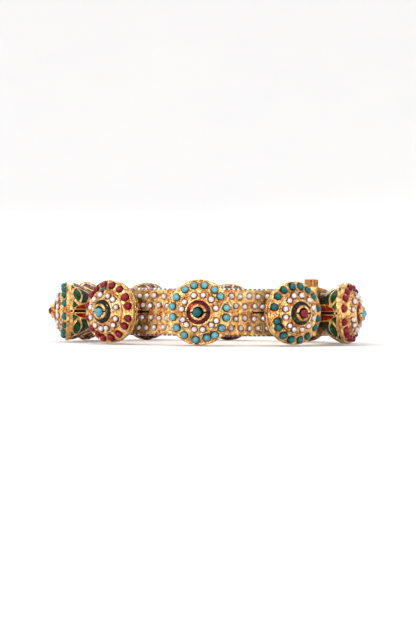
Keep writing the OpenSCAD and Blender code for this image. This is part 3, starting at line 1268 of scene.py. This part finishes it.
@dataclass
class BossFace:
    """The jewelled face of a boss: foil, beads, pearls, enamel ring, middle bead and its wire.

    Sizes are in millimetres, and levels are heights over the cup's rim. Folds are wide humps and
    crumples fine ones. A pit is pressed round each stone, with a burr round the pit. The shade
    fields and burr_fade set the painted shade in the creases, in the pits and on the burrs. The
    ring's slot and the hollow round the middle bead take the dark lac as painted shade, and the
    wire takes it partly as oxide and partly as painted shade.
    """

    beads: StoneRing = StoneRing(16, ring_r=6.92, level=0.85, radius=0.85, sway=0.18, lumps=0.05)
    pearls: StoneRing = StoneRing(12, ring_r=4.46, level=2.45, radius=0.70, sway=0.14, lumps=0.03)
    face_r: float = 8.15
    lip: float = 0.2
    lip_down: float = 0.45
    lip_margin: float = 0.01
    groove_r: float = 2.9
    groove_level: float = 2.45
    ring_r: float = 2.03
    ring_in_r: float = 1.35
    ring_top: float = 4.3
    ring_margin: float = 0.1
    hollow_margin: float = 0.02
    hollow_depth: float = 0.3
    wire_level: float = 3.95
    wire_r: float = 0.15
    wire_short: float = 0.2
    wire_steps: int = 10
    slot_w: float = 0.36
    slot_margin: float = 0.05
    middle_r: float = 1.12
    middle_lumps: float = 0.04
    middle_fineness: int = 4
    foil_steps: int = 180
    foil_row: float = 0.17
    fold_size: float = 1.7
    fold_h: float = 0.07
    fold_shade: float = 0.5
    crumple_size: float = 0.6
    crumple_share: float = 0.6
    crumple_shade: float = 0.4
    flat_level: float = 0.08
    folded_level: float = 0.15
    pitted_level: float = 0.2
    pit_margin: float = 0.25
    pit_gap: float = 0.07
    pit_depth: float = 0.9
    burr_w: float = 0.42
    burr_h: float = 0.15
    burr_even: float = 0.7
    burr_crumple: float = 0.6
    burr_shade: float = 1.45
    burr_fade: float = 3.2
    ridge: tuple[float, float] = (5.15, 5.85)
    scallop: float = 0.012
    ridge_crumple: float = 0.01
    rim_w: float = 0.5
    rim_bend: float = 0.010
    ring_bend: float = 0.022
    bend_size: float = 1.5
    enamel_row: float = 0.16
    enamel_steps: int = 144
    enamel_level: float = 2.9
    enamel_wave: float = 0.05
    enamel_wave_size: float = 1.1
    enamel_slot: float = 0.27
    enamel_slot_depth: float = 0.3
    dice_step: int = 101

    def outline(self, rim: float) -> list[tuple[float, float]]:
        """The foil's outline from the middle of its top to the middle of its underside.

        Args:
            rim: The foil's outer radius.

        Returns:
            Its corners, as radius and level.
        """
        floor = self.wire_level - self.middle_r - self.ring_margin
        middle_ring = [
            (0.0, floor), (self.ring_in_r, floor), (self.ring_in_r, self.ring_top - 0.15),
            (self.ring_in_r + 0.13, self.ring_top), (self.ring_r - 0.13, self.ring_top),
            (self.ring_r, self.ring_top - 0.25), (self.ring_r, self.groove_level),
            (self.groove_r, self.groove_level),
        ]
        pearl_step = [
            (self.groove_r, 2.85), (3.0, 3.08), (3.19, 3.18), (3.4, 3.05), (3.55, 2.75),
            (5.3, 1.85), (5.42, 2.02), (5.6, 2.02), (5.72, 1.36),
        ]
        bead_step = [(6.0, 1.2), (rim - 0.55, 0.28), (rim - 0.4, 0.36), (rim - 0.15, 0.32)]
        lip = [
            (rim, 0.1), (rim, -self.lip_down), (rim - self.lip, -self.lip_down),
            (rim - self.lip, 0.06), (0.0, 0.06),
        ]
        return middle_ring + pearl_step + bead_step + lip

    def bend(self, vert: bmesh.types.BMVert, share: float, seed: float) -> None:
        """Pulls a point of a ring in or out, because no ring here is quite round.

        Args:
            vert: The point.
            share: The most that its radius changes, as a share of it.
            seed: Makes this face differ from the others.
        """
        flat = Vector((vert.co.x, vert.co.y, 0.0))
        pull(vert, 1 + share * waver(flat, self.bend_size, seed + BEND_SEED))

    def fold(self, vert: bmesh.types.BMVert, rim: float, seed: float, crumple: float) -> float:
        """Folds the foil at one point, scallops its ridge, and bends its rim and middle ring.

        Args:
            vert: The point, at its even place.
            rim: The foil's outer radius.
            seed: Makes this face differ from the others.
            crumple: The fine relief there.

        Returns:
            How much painted shade the creases get there.
        """
        radius = math.hypot(vert.co.x, vert.co.y)
        wide = waver(vert.co, self.fold_size, seed)
        if radius > self.groove_r and vert.co.z > self.folded_level:
            vert.co.z += self.fold_h * (wide + self.crumple_share * crumple)
        if self.ridge[0] < radius < self.ridge[1]:
            wave = math.cos(self.pearls.count * math.atan2(vert.co.y, vert.co.x))
            pull(vert, 1 + self.scallop * wave + self.ridge_crumple * crumple)
        elif radius > rim - self.rim_w:
            self.bend(vert, self.rim_bend, seed)
        elif self.ring_in_r - self.ring_margin < radius < self.groove_r:
            self.bend(vert, self.ring_bend, seed)
        # Painted shade where the foil dips
        return max(0.0, -self.fold_shade * wide - self.crumple_shade * crumple)

    def press(self, vert: bmesh.types.BMVert, stone: Ball, away: float, crumple: float) -> float:
        """Presses a stone's pit into the foil, or raises the burr round it.

        Args:
            vert: The point.
            stone: The nearest stone.
            away: How far its middle is, seen from above.
            crumple: The fine relief there.

        Returns:
            How much painted shade the pit or the burr gets there.
        """
        centre, size = stone
        pit = size + self.pit_gap
        # Full painted shade in the pit, and painted shade that fades across the burr
        if away < pit:
            bottom = centre.z - math.sqrt(pit ** 2 - away ** 2) * self.pit_depth
            vert.co.z = min(vert.co.z, bottom)
            return 1.0
        if away < pit + self.burr_w:
            share = (away - pit) / self.burr_w
            height = self.burr_h * math.sin(math.pi * share)
            vert.co.z += height * (self.burr_even + self.burr_crumple * crumple)
            return self.burr_shade - self.burr_fade * share
        return 0.0

    def work_foil(self, mesh: bmesh.types.BMesh, rim: float, seed: float,
                  stones: Sequence[Ball]) -> None:
        """Works the turned foil as a hand tool does, and gives the slot in its middle ring and the
        hollow round the middle bead the dark lac as painted shade.

        Args:
            mesh: The turned foil.
            rim: Its outer radius.
            seed: Makes this face differ from the others.
            stones: The stones' centres and radii.
        """
        layer = mesh.verts.layers.float.new(PAINTED_SHADE)
        tree = kdtree.KDTree(len(stones))
        for index, (centre, _) in enumerate(stones):
            tree.insert((centre.x, centre.y, 0.0), index)
        tree.balance()
        slot_level = self.wire_level - self.wire_r / 2
        # Points that take the dark lac as painted shade
        dark = set()
        for vert in mesh.verts:
            place = vert.co.copy()
            radius = math.hypot(place.x, place.y)
            inside = radius < rim - self.lip - self.lip_margin
            if radius < NEAR_ZERO or (inside and place.z < self.flat_level):
                continue
            crumple = waver(place, self.crumple_size, seed + FINE_SEED)
            painted_shade = self.fold(vert, rim, seed, crumple)
            if place.z > self.pitted_level and radius > self.groove_r + self.pit_margin:
                _, index, away = tree.find((place.x, place.y, 0.0))
                painted_shade = max(painted_shade, self.press(vert, stones[index], away, crumple))
            in_ring = self.ring_in_r - self.slot_margin < radius < self.ring_r + self.slot_margin
            # The slot in the middle ring is sunk and takes the dark lac as painted shade
            if in_ring and abs(place.y) < self.slot_w / 2 and place.z > slot_level:
                vert.co.z = slot_level
                dark.add(vert)
            # The hollow round the middle bead takes the dark lac as painted shade
            in_hollow = radius < self.ring_in_r + self.hollow_margin
            if in_hollow and place.z < self.ring_top - self.hollow_depth:
                dark.add(vert)
            vert[layer] = min(painted_shade, 1.0)
        for face in mesh.faces:
            part = FoilPart.LAC if dark.issuperset(face.verts) else FoilPart.GOLD
            face.material_index = part.value

    def build_foil(self, seat: Seat, finishes: Finishes, rim: float, seed: float,
                   stones: Sequence[Ball]) -> None:
        """Makes the foil of one face, with the wire that holds the middle bead.

        Args:
            seat: Where the boss stands.
            finishes: The bangle's finishes.
            rim: The foil's outer radius.
            seed: Makes this face differ from the others.
            stones: The stones' centres and radii.
        """
        foil = bmesh.new()
        spin(foil, chain(foil, self.outline(rim), self.foil_row, plain=1), self.foil_steps)
        self.work_foil(foil, rim, seed, stones)
        wire = bmesh.ops.create_cone(foil, cap_ends=True, segments=self.wire_steps,
                                     radius1=self.wire_r, radius2=self.wire_r,
                                     depth=2 * self.ring_r - self.wire_short)["verts"]
        # The wire takes the dark lac, partly as oxide and partly as painted shade
        for face in {face for vert in wire for face in vert.link_faces}:
            face.material_index = FoilPart.LAC.value
        bmesh.ops.rotate(foil, verts=wire, cent=(0, 0, 0),
                         matrix=Matrix.Rotation(math.pi / 2, 3, "Y"))
        bmesh.ops.translate(foil, verts=wire, vec=(0, 0, self.wire_level))
        node = f"face_{seat.name}"
        publish(foil, f"face_foil_{seat.name}", seat.body, [finishes.foil, finishes.lac],
                seat.matrix, [node])

    def build_ring(self, seat: Seat, finish: bpy.types.Material,
                   seed: float) -> None:
        """Makes the enamel ring, a little uneven, as it was filled by hand.

        Args:
            seat: Where the boss stands.
            finish: Its material.
            seed: Makes this ring differ from the others.
        """
        mesh = bmesh.new()
        outline = [
            (self.ring_r + 0.02, self.groove_level + 0.05),
            (self.groove_r - 0.03, self.groove_level + 0.05), (self.groove_r - 0.02, 3.0),
            (self.groove_r - 0.2, 3.28), (self.groove_r - 0.5, 3.44), (self.ring_r + 0.02, 3.5),
        ]
        spin(mesh, chain(mesh, outline, self.enamel_row, closed=True), self.enamel_steps)
        layer = mesh.verts.layers.float.new(PAINTED_SHADE)
        for vert in mesh.verts:
            flat = Vector((vert.co.x, vert.co.y, 0.0))
            self.bend(vert, self.ring_bend, seed)
            if vert.co.z > self.enamel_level:
                vert.co.z += self.enamel_wave * waver(flat, self.enamel_wave_size,
                                                      seed + DOME_SEED)
                # A groove across the ring, sunk and given full painted shade
                if abs(flat.y) < self.enamel_slot:
                    vert.co.z -= self.enamel_slot_depth
                    vert[layer] = 1.0
        node = f"enamel_ring_{seat.name}"
        publish(mesh, f"ring_enamel_{seat.name}", seat.body, [finish], seat.matrix,
                [node])

    def build(self, seat: Seat, finishes: Finishes, wider: float) -> None:
        """Makes the face of one boss.

        Args:
            seat: Where the boss stands.
            finishes: The bangle's finishes.
            wider: What this face adds to the usual radius.
        """
        name = seat.name
        number = BOSS_NAMES.index(name) + 1
        seed = float(number)
        dice = random.Random(number * self.dice_step)
        stone = Stone(slot_of(f"beads_{name}"))
        middle = Stone(slot_of(f"centre_bead_{name}"))
        ring = RingEnamel(slot_of(f"enamel_ring_{name}"))
        beads = self.beads.places(dice, BEAD_NUDGES.get(name, ()))
        pearls = self.pearls.places(dice, PEARL_NUDGES.get(name, ()))
        middle_at = Vector((*MIDDLE_SHIFTS.get(name, (0.0, 0.0)), self.wire_level))

        def set_stones(piece: str, places: Sequence[Ball], fineness: int, lumps: float,
                       finish: bpy.types.Material, slot: str, *stands_for: str) -> None:
            """Makes one piece of stones on this face.

            Args:
                piece: The piece's name.
                places: The stones' centres and radii.
                fineness: How often each one's faces are divided.
                lumps: How uneven they are, as a share of the radius.
                finish: Their material.
                slot: The record's material slot; not used.
                *stands_for: The solids that the piece replaces.
            """
            mesh = bmesh.new()
            balls(mesh, places, fineness, lumps, dice, lambda _: UP)
            publish(mesh, piece, seat.body, [finish], seat.matrix, stands_for)

        odd = []
        if name == ODD_BEAD.boss:
            odd = [(Vector((ODD_BEAD.x, ODD_BEAD.y, ODD_BEAD.z)), ODD_BEAD.radius)]
            set_stones("odd_bead", odd, ODD_BEAD.fineness, ODD_BEAD.lumps,
                       finishes.stones[Stone.EMERALD], Stone.EMERALD.value)
        self.build_foil(seat, finishes, self.face_r + wider, seed, beads + pearls + odd)
        set_stones(f"stones_{name}", beads, self.beads.fineness, self.beads.lumps,
                   finishes.stones[stone], stone.value, f"beads_{name}")
        set_stones(f"pearls_{name}", pearls, self.pearls.fineness, self.pearls.lumps,
                   finishes.pearl, slot_of(f"face_{name}"))
        self.build_ring(seat, finishes.rings[ring], seed)
        set_stones(f"middle_bead_{name}", [(middle_at, self.middle_r)], self.middle_fineness,
                   self.middle_lumps, finishes.stones[middle], middle.value,
                   f"centre_bead_{name}")


@dataclass
class Band:
    """The band's worked foil with its rows of seed pearls, and the finishes of its solids.

    Sizes are in millimetres and angles in degrees, from -Y towards +X. Folds are wide humps and
    crumples fine ones. The foil dips round each pearl and rises to a burr round that. The shade
    fields and burr_fade set the painted shade in its creases, its pits and on the burrs.
    """

    outer_r: float = 33.15
    front_h: float = 11.5
    foil_t: float = 0.12
    foil_back: float = 1.0
    foil_step: float = 0.25
    back_margin: float = 0.1
    lap: float = 0.1
    lap_rise: float = 0.08
    pearl_r: float = 0.70
    pearl_out: float = 0.12
    pearl_lumps: float = 0.03
    pearl_fineness: int = 2
    size_range: tuple[float, float] = (0.92, 1.03)
    sway_angle: float = 0.35
    sway_height: float = 0.14
    pitch: float = 4.25
    inner_row: float = 1.6
    outer_row: float = 4.1
    free_angle: float = 7.0
    joint_free: float = 6.6
    lug_free: float = 4.9
    fold_size: float = 1.5
    fold_h: float = 0.05
    fold_shade: float = 0.7
    fold_seed: float = 21.0
    crumple_size: float = 0.55
    crumple_h: float = 0.035
    crumple_shade: float = 0.5
    crumple_seed: float = 33.0
    pit_gap: float = 0.03
    pit_depth: float = 0.95
    dip: float = 0.09
    burr_w: float = 0.40
    burr_h: float = 0.08
    burr_shade: float = 1.5
    burr_fade: float = 3.0
    slit_to: float = 7.4
    slit_lift: float = -0.08
    edge_w: float = 0.35
    edge_least: float = -0.02
    edge_lift: float = 0.05
    dice_seed: int = 5

    def clasp_angle(self) -> float:
        """The clasp's angle."""
        middle = sum(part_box("clasp_screw"), Vector()) / 2
        return math.degrees(math.atan2(middle.x, -middle.y))

    def pearl_places(self, names: Sequence[str], angles: Sequence[float],
                     pivots: Sequence[float]) -> list[tuple[float, float]]:
        """Places the pearls between neighbouring bosses.

        Args:
            names: The bosses' letters in order.
            angles: Their angles, the first one again at the end.
            pivots: The angles of the hinge and the clasp.

        Returns:
            Each pearl's angle and height.
        """
        places = list(LONE_PEARLS)
        for name, first, last in zip(names, angles, angles[1:]):
            full, shift = PEARL_ROWS.get(name, USUAL_ROW)
            for height, count in ((self.inner_row, full - 1), (self.outer_row, full)):
                for index in range(count):
                    angle = (first + last) / 2 + shift + (index - (count - 1) / 2) * self.pitch
                    if all(apart(angle, pivot) > self.free_angle for pivot in pivots):
                        places += [(angle, height), (angle, -height)]
        return places

    def at(self, angle: float, height: float, radius: float) -> Vector:
        """A place on the band from its angle, height and radius."""
        turn = math.radians(angle)
        return Vector((radius * math.sin(turn), -radius * math.cos(turn), height))

    def relief(self, place: Vector, away: float, size: float) -> tuple[float, float]:
        """The foil's relief at one point.

        Args:
            place: The point.
            away: How far the nearest pearl's pit is.
            size: That pearl's radius.

        Returns:
            How far the foil is lifted, and how much painted shade it gets.
        """
        wide = waver(place, self.fold_size, self.fold_seed)
        crumple = waver(place, self.crumple_size, self.crumple_seed)
        lift = self.fold_h * wide + self.crumple_h * crumple
        # Painted shade where the foil dips
        painted_shade = max(0.0, -self.fold_shade * wide - self.crumple_shade * crumple)
        pit = size + self.pit_gap
        # Full painted shade in the pit, and painted shade that fades across the burr
        if away < pit:
            depth = math.sqrt(pit ** 2 - away ** 2) * self.pit_depth
            return self.pearl_out - self.foil_t - depth, 1.0
        if away < pit + self.burr_w:
            share = (away - pit) / self.burr_w
            burr = self.burr_h * math.sin(math.pi * share) - self.dip * (1 - share) ** 2
            return burr + lift * share, max(painted_shade, self.burr_shade - self.burr_fade * share)
        return lift, painted_shade

    def work_foil(self, mesh: bmesh.types.BMesh, pearls: Sequence[tuple[float, float]],
                  sizes: Sequence[float], bosses: Sequence[float]) -> None:
        """Works the band's plain foil: folds, pits round the pearls, dark slits and raised edges.

        Args:
            mesh: The foil.
            pearls: The angles and heights of its pearls.
            sizes: Their radii.
            bosses: The angles of its bosses, for the slits beside them.
        """
        outer = self.outer_r + self.foil_t
        layer = mesh.verts.layers.float.new(PAINTED_SHADE)
        tree = kdtree.KDTree(len(pearls))
        for index, (angle, height) in enumerate(pearls):
            tree.insert(self.at(angle, height, outer), index)
        tree.balance()
        slits = set()
        for vert in mesh.verts:
            radius = math.hypot(vert.co.x, vert.co.y)
            if radius < self.outer_r - self.foil_back + self.back_margin:
                continue
            _, index, away = tree.find(vert.co)
            lift, painted_shade = self.relief(vert.co, away, sizes[index])
            angle = math.degrees(math.atan2(vert.co.x, -vert.co.y))
            beside = min((apart(angle, boss) for boss in bosses), default=180.0)
            near_boss = math.radians(beside) * self.outer_r < self.slit_to
            if near_boss and abs(vert.co.z) < self.foil_step / 2:
                lift = self.slit_lift
                slits.add(vert)
            if abs(vert.co.z) > self.front_h / 2 - self.edge_w:
                lift = max(lift, self.edge_least) + self.edge_lift
            pull(vert, 1 + lift / self.outer_r)
            vert[layer] = min(painted_shade, 1.0)
        for face in mesh.faces:
            part = FoilPart.GOLD if slits.isdisjoint(face.verts) else FoilPart.LAC
            face.material_index = part.value

    def build_foil(self, half: str, span: tuple[float, float]) -> bmesh.types.BMesh:
        """Makes the plain foil over the front of one half of the band.

        Args:
            half: Which half it is, front or back.
            span: The angles of the hinge and the clasp, in order.

        Returns:
            The foil, closed at its back.
        """
        low = span[0] + (self.joint_free if half == "front" else self.lug_free)
        high = span[1] - self.joint_free
        outer, inner = self.outer_r + self.foil_t, self.outer_r - self.foil_back
        top = self.front_h / 2
        lap, lap_top = outer - self.lap, top + self.lap_rise
        outline = [(outer, -top), (outer, top), (lap, lap_top), (inner, top), (inner, -top),
                   (lap, -lap_top)]
        mesh = bmesh.new()
        geometry = chain(mesh, outline, self.foil_step, closed=True, plain=5)
        turn = Matrix.Rotation(math.radians(low - 90), 4, "Z")
        bmesh.ops.transform(mesh, matrix=turn, verts=mesh.verts)
        arc = math.radians(high - low)
        spin(mesh, geometry, round(arc * self.outer_r / self.foil_step), arc)
        close(mesh)
        return mesh

    def build(self, seats: Sequence[Seat], finishes: Finishes) -> None:
        """Dresses the whole band.

        Args:
            seats: The bosses in order round the band, starting after the hinge.
            finishes: The bangle's finishes.
        """
        for node in ("band_front", "band_back", "hinge_pin"):
            dress(node, finishes.solid)
        clasp = self.clasp_angle()
        hinge = clasp - 180
        angles = [(seat.angle_on(self.outer_r) - hinge) % 360 + hinge for seat in seats]
        places = self.pearl_places([seat.name for seat in seats], angles + [angles[0] + 360],
                                   (hinge, clasp))
        dice = random.Random(self.dice_seed)
        to_frame = Matrix.Scale(MM, 4)
        for half, low, high in (("front", hinge, clasp), ("back", clasp, hinge + 360)):
            node = f"band_{half}"
            body = frame["nodes"][node]["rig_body"]
            mine = [(a if a < hinge + 360 else a - 360, z) for a, z in places]
            swayed = [(a + dice.uniform(-self.sway_angle, self.sway_angle),
                       z + dice.uniform(-self.sway_height, self.sway_height))
                      for a, z in mine if low < a < high]
            sizes = [self.pearl_r * dice.uniform(*self.size_range) for _ in swayed]
            centres = [self.at(a, z, self.outer_r + self.pearl_out) for a, z in swayed]
            pearls = bmesh.new()
            balls(pearls, zip(centres, sizes), self.pearl_fineness, self.pearl_lumps, dice,
                  lambda centre: Vector((centre.x, centre.y, 0.0)).normalized())
            publish(pearls, f"band_pearls_{half}", body, [finishes.pearl],
                    to_frame)
            foil = self.build_foil(half, (low, high))
            self.work_foil(foil, swayed, sizes, [a for a in angles if low < a < high])
            publish(foil, f"band_foil_{half}", body, [finishes.band, finishes.lac],
                    to_frame)
            for side in ("top", "bottom"):
                EdgeStrip().build(half, side, (low, high), finishes.edge)


@dataclass
class EdgeStrip:
    """Domed enamel strips with raised dots on the band's sloping edges, in millimetres."""

    outer_r: float = 33.15
    half_front: float = 5.75
    rise: float = 0.38
    back: float = 0.55
    free_angle: float = 12.0
    root: float = 0.15
    dome: float = 0.18
    shoulder: float = 0.8
    dot_h: float = 0.07
    dot_level: float = 0.1
    dot_pitch: float = 1.25
    dot_steps: int = 8
    dot_sway: float = 0.3
    sway_size: float = 3.0
    sway_seed: float = 8.0

    def place(self, part: float, height: float) -> tuple[float, float]:
        """A place on the upper slope.

        Args:
            part: How far across the slope it is, from 0 at the front to 1.
            height: How far it stands off the slope.

        Returns:
            Its radius and its height on the band.
        """
        slope = math.hypot(self.rise, self.back)
        radius = self.outer_r - part * self.back + height * self.rise / slope
        return radius, self.half_front + part * self.rise + height * self.back / slope

    def build(self, half: str, side: str, span: tuple[float, float],
              finish: bpy.types.Material) -> None:
        """Makes one strip.

        Args:
            half: The half of the band that it is on, front or back.
            side: Which edge it is on, top or bottom.
            span: The angles of the joints at its ends, in degrees.
            finish: Its enamel.
        """
        mesh = bmesh.new()
        low, high = span[0] + self.free_angle, span[1] - self.free_angle
        section = ((0.1, -self.root), (0.1, 0.0), (0.25, self.dome * self.shoulder),
                   (0.5, self.dome), (0.75, self.dome * self.shoulder), (0.9, 0.0),
                   (0.9, -self.root))
        outline = [self.place(part, height) for part, height in section]
        geometry = chain(mesh, outline, WHOLE, closed=True)
        arc = math.radians(high - low)
        bmesh.ops.rotate(mesh, verts=mesh.verts, cent=(0, 0, 0),
                         matrix=Matrix.Rotation(math.radians(low - 90), 3, "Z"))
        spin(mesh, geometry, round(arc * self.outer_r / self.dot_pitch * self.dot_steps), arc)
        close(mesh)
        layer = mesh.verts.layers.float.new(TINT)
        for vert in mesh.verts:
            angle = math.degrees(math.atan2(vert.co.x, -vert.co.y))
            along = math.radians(angle - low) * self.outer_r
            along += self.dot_sway * waver(vert.co, self.sway_size, self.sway_seed)
            vert[layer] = 0.5 + 0.5 * math.cos(math.tau * along / self.dot_pitch)
            if vert.co.z > self.half_front + self.dot_level:
                vert.co.z += self.dot_h * vert[layer]
        if side == "bottom":
            bmesh.ops.scale(mesh, verts=mesh.verts, vec=(1, 1, -1))
        node = f"edge_enamel_{half}_{side}"
        publish(mesh, f"edge_strip_{half}_{side}", frame["nodes"][node]["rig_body"], [finish],
                Matrix.Scale(MM, 4), [node])


@dataclass
class ClaspScrew:
    """The lift-out screw, with a bevelled square head and ridges on its shaft, in millimetres."""

    width: float = 2.7
    height: float = 1.9
    bevel: float = 0.16
    bevel_steps: int = 3
    shaft_r: float = 0.72
    shaft_steps: int = 20
    shaft_in_head: float = 0.3
    ridge: float = 0.4
    ridge_depth: float = 0.1

    def build(self, finish: bpy.types.Material) -> None:
        """Makes the screw where its solid is.

        Args:
            finish: Its gold.
        """
        low, high = (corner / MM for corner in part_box("clasp_screw"))
        middle = (low + high) / 2
        head_z = high.z - self.height
        angle = math.atan2(middle.x, -middle.y)
        mesh = bmesh.new()
        head = bmesh.ops.create_cube(mesh, size=1.0)["verts"]
        bmesh.ops.scale(mesh, verts=head, vec=(self.width, self.width, self.height))
        bmesh.ops.translate(mesh, verts=head, vec=(0, 0, head_z + self.height / 2))
        bmesh.ops.bevel(mesh, geom=mesh.edges[:], offset=self.bevel, offset_type="OFFSET",
                        segments=self.bevel_steps, profile=0.5, affect="EDGES", material=-1)
        ridges = math.ceil((head_z + self.shaft_in_head - low.z) / self.ridge)
        root_r = self.shaft_r - self.ridge_depth
        outline = [(0.0, low.z), (root_r, low.z)]
        for index in range(ridges):
            base = low.z + index * self.ridge
            outline += [(self.shaft_r, base + self.ridge / 2), (root_r, base + self.ridge)]
        outline.append((0.0, low.z + ridges * self.ridge))
        shaft = bmesh.new()
        spin(shaft, chain(shaft, outline, WHOLE), self.shaft_steps)
        join(mesh, shaft)
        place = Matrix.Translation((middle.x * MM, middle.y * MM, 0))
        turn = Matrix.Rotation(angle, 4, "Z")
        publish(mesh, "screw", "clasp_screw", [finish],
                place @ turn @ Matrix.Scale(MM, 4), ["clasp_screw"], smooth=False)


@dataclass(frozen=True)
class SoftBox:
    """A square light that faces the bangle: place and size in metres, power in watts."""

    name: str
    place: tuple[float, float, float]
    size: float
    power: float


SOFT_BOXES = (
    SoftBox("top", (0.0, 0.1, 1.1), size=1.4, power=6.0),
    SoftBox("key", (-0.38, -0.60, 0.42), size=0.12, power=1.9),
    SoftBox("side", (0.62, -0.42, 0.25), size=0.10, power=0.35),
    SoftBox("front", (0.03, -0.85, 0.10), size=0.14, power=1.3),
    SoftBox("back", (-0.2, 0.75, 0.45), size=0.30, power=1.5),
)


@dataclass
class Studio:
    """Pale floor, soft lights and the photograph's camera.

    Lengths are in metres, but the sensor's width is in millimetres. Names in _px are pixels of
    the photograph: its width and height, the focal length, and where the bangle's axis stands.
    """

    width_px: float = 416.0
    height_px: float = 624.0
    focal_px: float = 1606.0
    axis_px: float = 213.5
    distance: float = 0.4474
    azimuth: float = 5.0
    height: float = 0.0012
    roll: float = 0.5
    sensor: float = 36.0
    clip_start: float = 0.01
    floor_r: float = 0.6
    floor_steps: int = 96
    bend: float = 0.8
    bend_steps: int = 16
    wall_h: float = 1.1
    cloud_mm: float = 60.0
    sky: Colour = (1.0, 0.98, 0.96, 1.0)
    sky_strength: float = 0.62

    def build_camera(self) -> None:
        """Adds the camera where the photograph was taken from."""
        data = bpy.data.cameras.new("camera")
        data.sensor_width = self.sensor
        data.lens = self.focal_px / self.height_px * self.sensor
        data.clip_start = self.clip_start
        turn = math.radians(self.azimuth)
        toward = Vector((math.sin(turn), -math.cos(turn), 0.0))
        right = Vector((math.cos(turn), math.sin(turn), 0.0))
        place = toward * self.distance + UP * self.height
        aside = (self.axis_px - self.width_px / 2) / self.focal_px * self.distance
        look = (-right * aside - place).to_track_quat("-Z", "Y").to_matrix().to_4x4()
        level = Matrix.Rotation(math.radians(self.roll), 4, "Z")
        camera = bpy.data.objects.new("camera", data)
        camera.location = place
        camera.rotation_euler = (look @ level).to_euler()
        bpy.context.scene.collection.objects.link(camera)
        bpy.context.scene.camera = camera

    def build_floor(self, level: float) -> None:
        """Adds a round pale floor that curves up into a low wall.

        Args:
            level: The height that the bangle rests on.
        """
        turns = [math.pi / 2 * i / self.bend_steps for i in range(1, self.bend_steps + 1)]
        outline = [(0.0, 0.0), (self.floor_r, 0.0)]
        outline += [(self.floor_r + self.bend * math.sin(a), self.bend * (1 - math.cos(a)))
                    for a in turns]
        outline.append((self.floor_r + self.bend, self.wall_h))
        mesh = bmesh.new()
        spin(mesh, chain(mesh, outline, WHOLE), self.floor_steps)
        bmesh.ops.translate(mesh, verts=mesh.verts, vec=(0, 0, level))
        bmesh.ops.reverse_faces(mesh, faces=mesh.faces)
        data = bpy.data.meshes.new("floor")
        mesh.to_mesh(data)
        mesh.free()
        smooth_faces(data)
        shader = Shader("pale_floor")
        clouds = shader.noise(self.cloud_mm, detail=2.0)
        shader.set(Base_Color=shader.mix(clouds, tone(250, 250, 250), tone(246, 246, 247)),
                   Roughness=0.9, Specular_IOR_Level=0.1)
        data.materials.append(shader.material)
        floor = bpy.data.objects.new("floor", data)
        bpy.context.scene.collection.objects.link(floor)

    def build_lights(self) -> None:
        """Adds the soft boxes and the pale surroundings."""
        world = bpy.data.worlds.new("studio")
        world.use_nodes = True
        sky = world.node_tree.nodes["Background"]
        sky.inputs["Color"].default_value = self.sky
        sky.inputs["Strength"].default_value = self.sky_strength
        bpy.context.scene.world = world
        for box in SOFT_BOXES:
            data = bpy.data.lights.new(box.name, "AREA")
            data.size = box.size
            data.energy = box.power
            light = bpy.data.objects.new(box.name, data)
            light.location = box.place
            light.rotation_euler = (-Vector(box.place)).to_track_quat("-Z", "Y").to_euler()
            bpy.context.scene.collection.objects.link(light)

    def build(self, level: float) -> None:
        """Makes the studio.

        Args:
            level: The height that the bangle rests on.
        """
        bpy.context.scene.view_settings.view_transform = "Standard"
        self.build_camera()
        self.build_floor(level)
        self.build_lights()


def main() -> None:
    """Builds the bangle's looks and the studio."""
    logging.basicConfig(level=logging.INFO, format="%(name)s: %(message)s")
    finishes = Finishes()
    seats = {name: Seat.of(name) for name in BOSS_NAMES}
    face = BossFace()
    for name, seat in seats.items():
        low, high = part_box(f"face_{name}")
        rim = (high.z - low.z) / MM / 2
        wider = round(rim - face.face_r, 1)
        lift = CELL_LIFTS.get(name, USUAL_LIFT)
        CupSide(face_r=CupSide.face_r + wider, lift=lift).build(seat, finishes)
        face.build(seat, finishes, wider)
    Band().build([seats[name] for name in BAND_ORDER], finishes)
    ClaspScrew().build(finishes.worn)
    Studio().build(CAD_BOX[0][2])


if __name__ == "__main__":
    main()
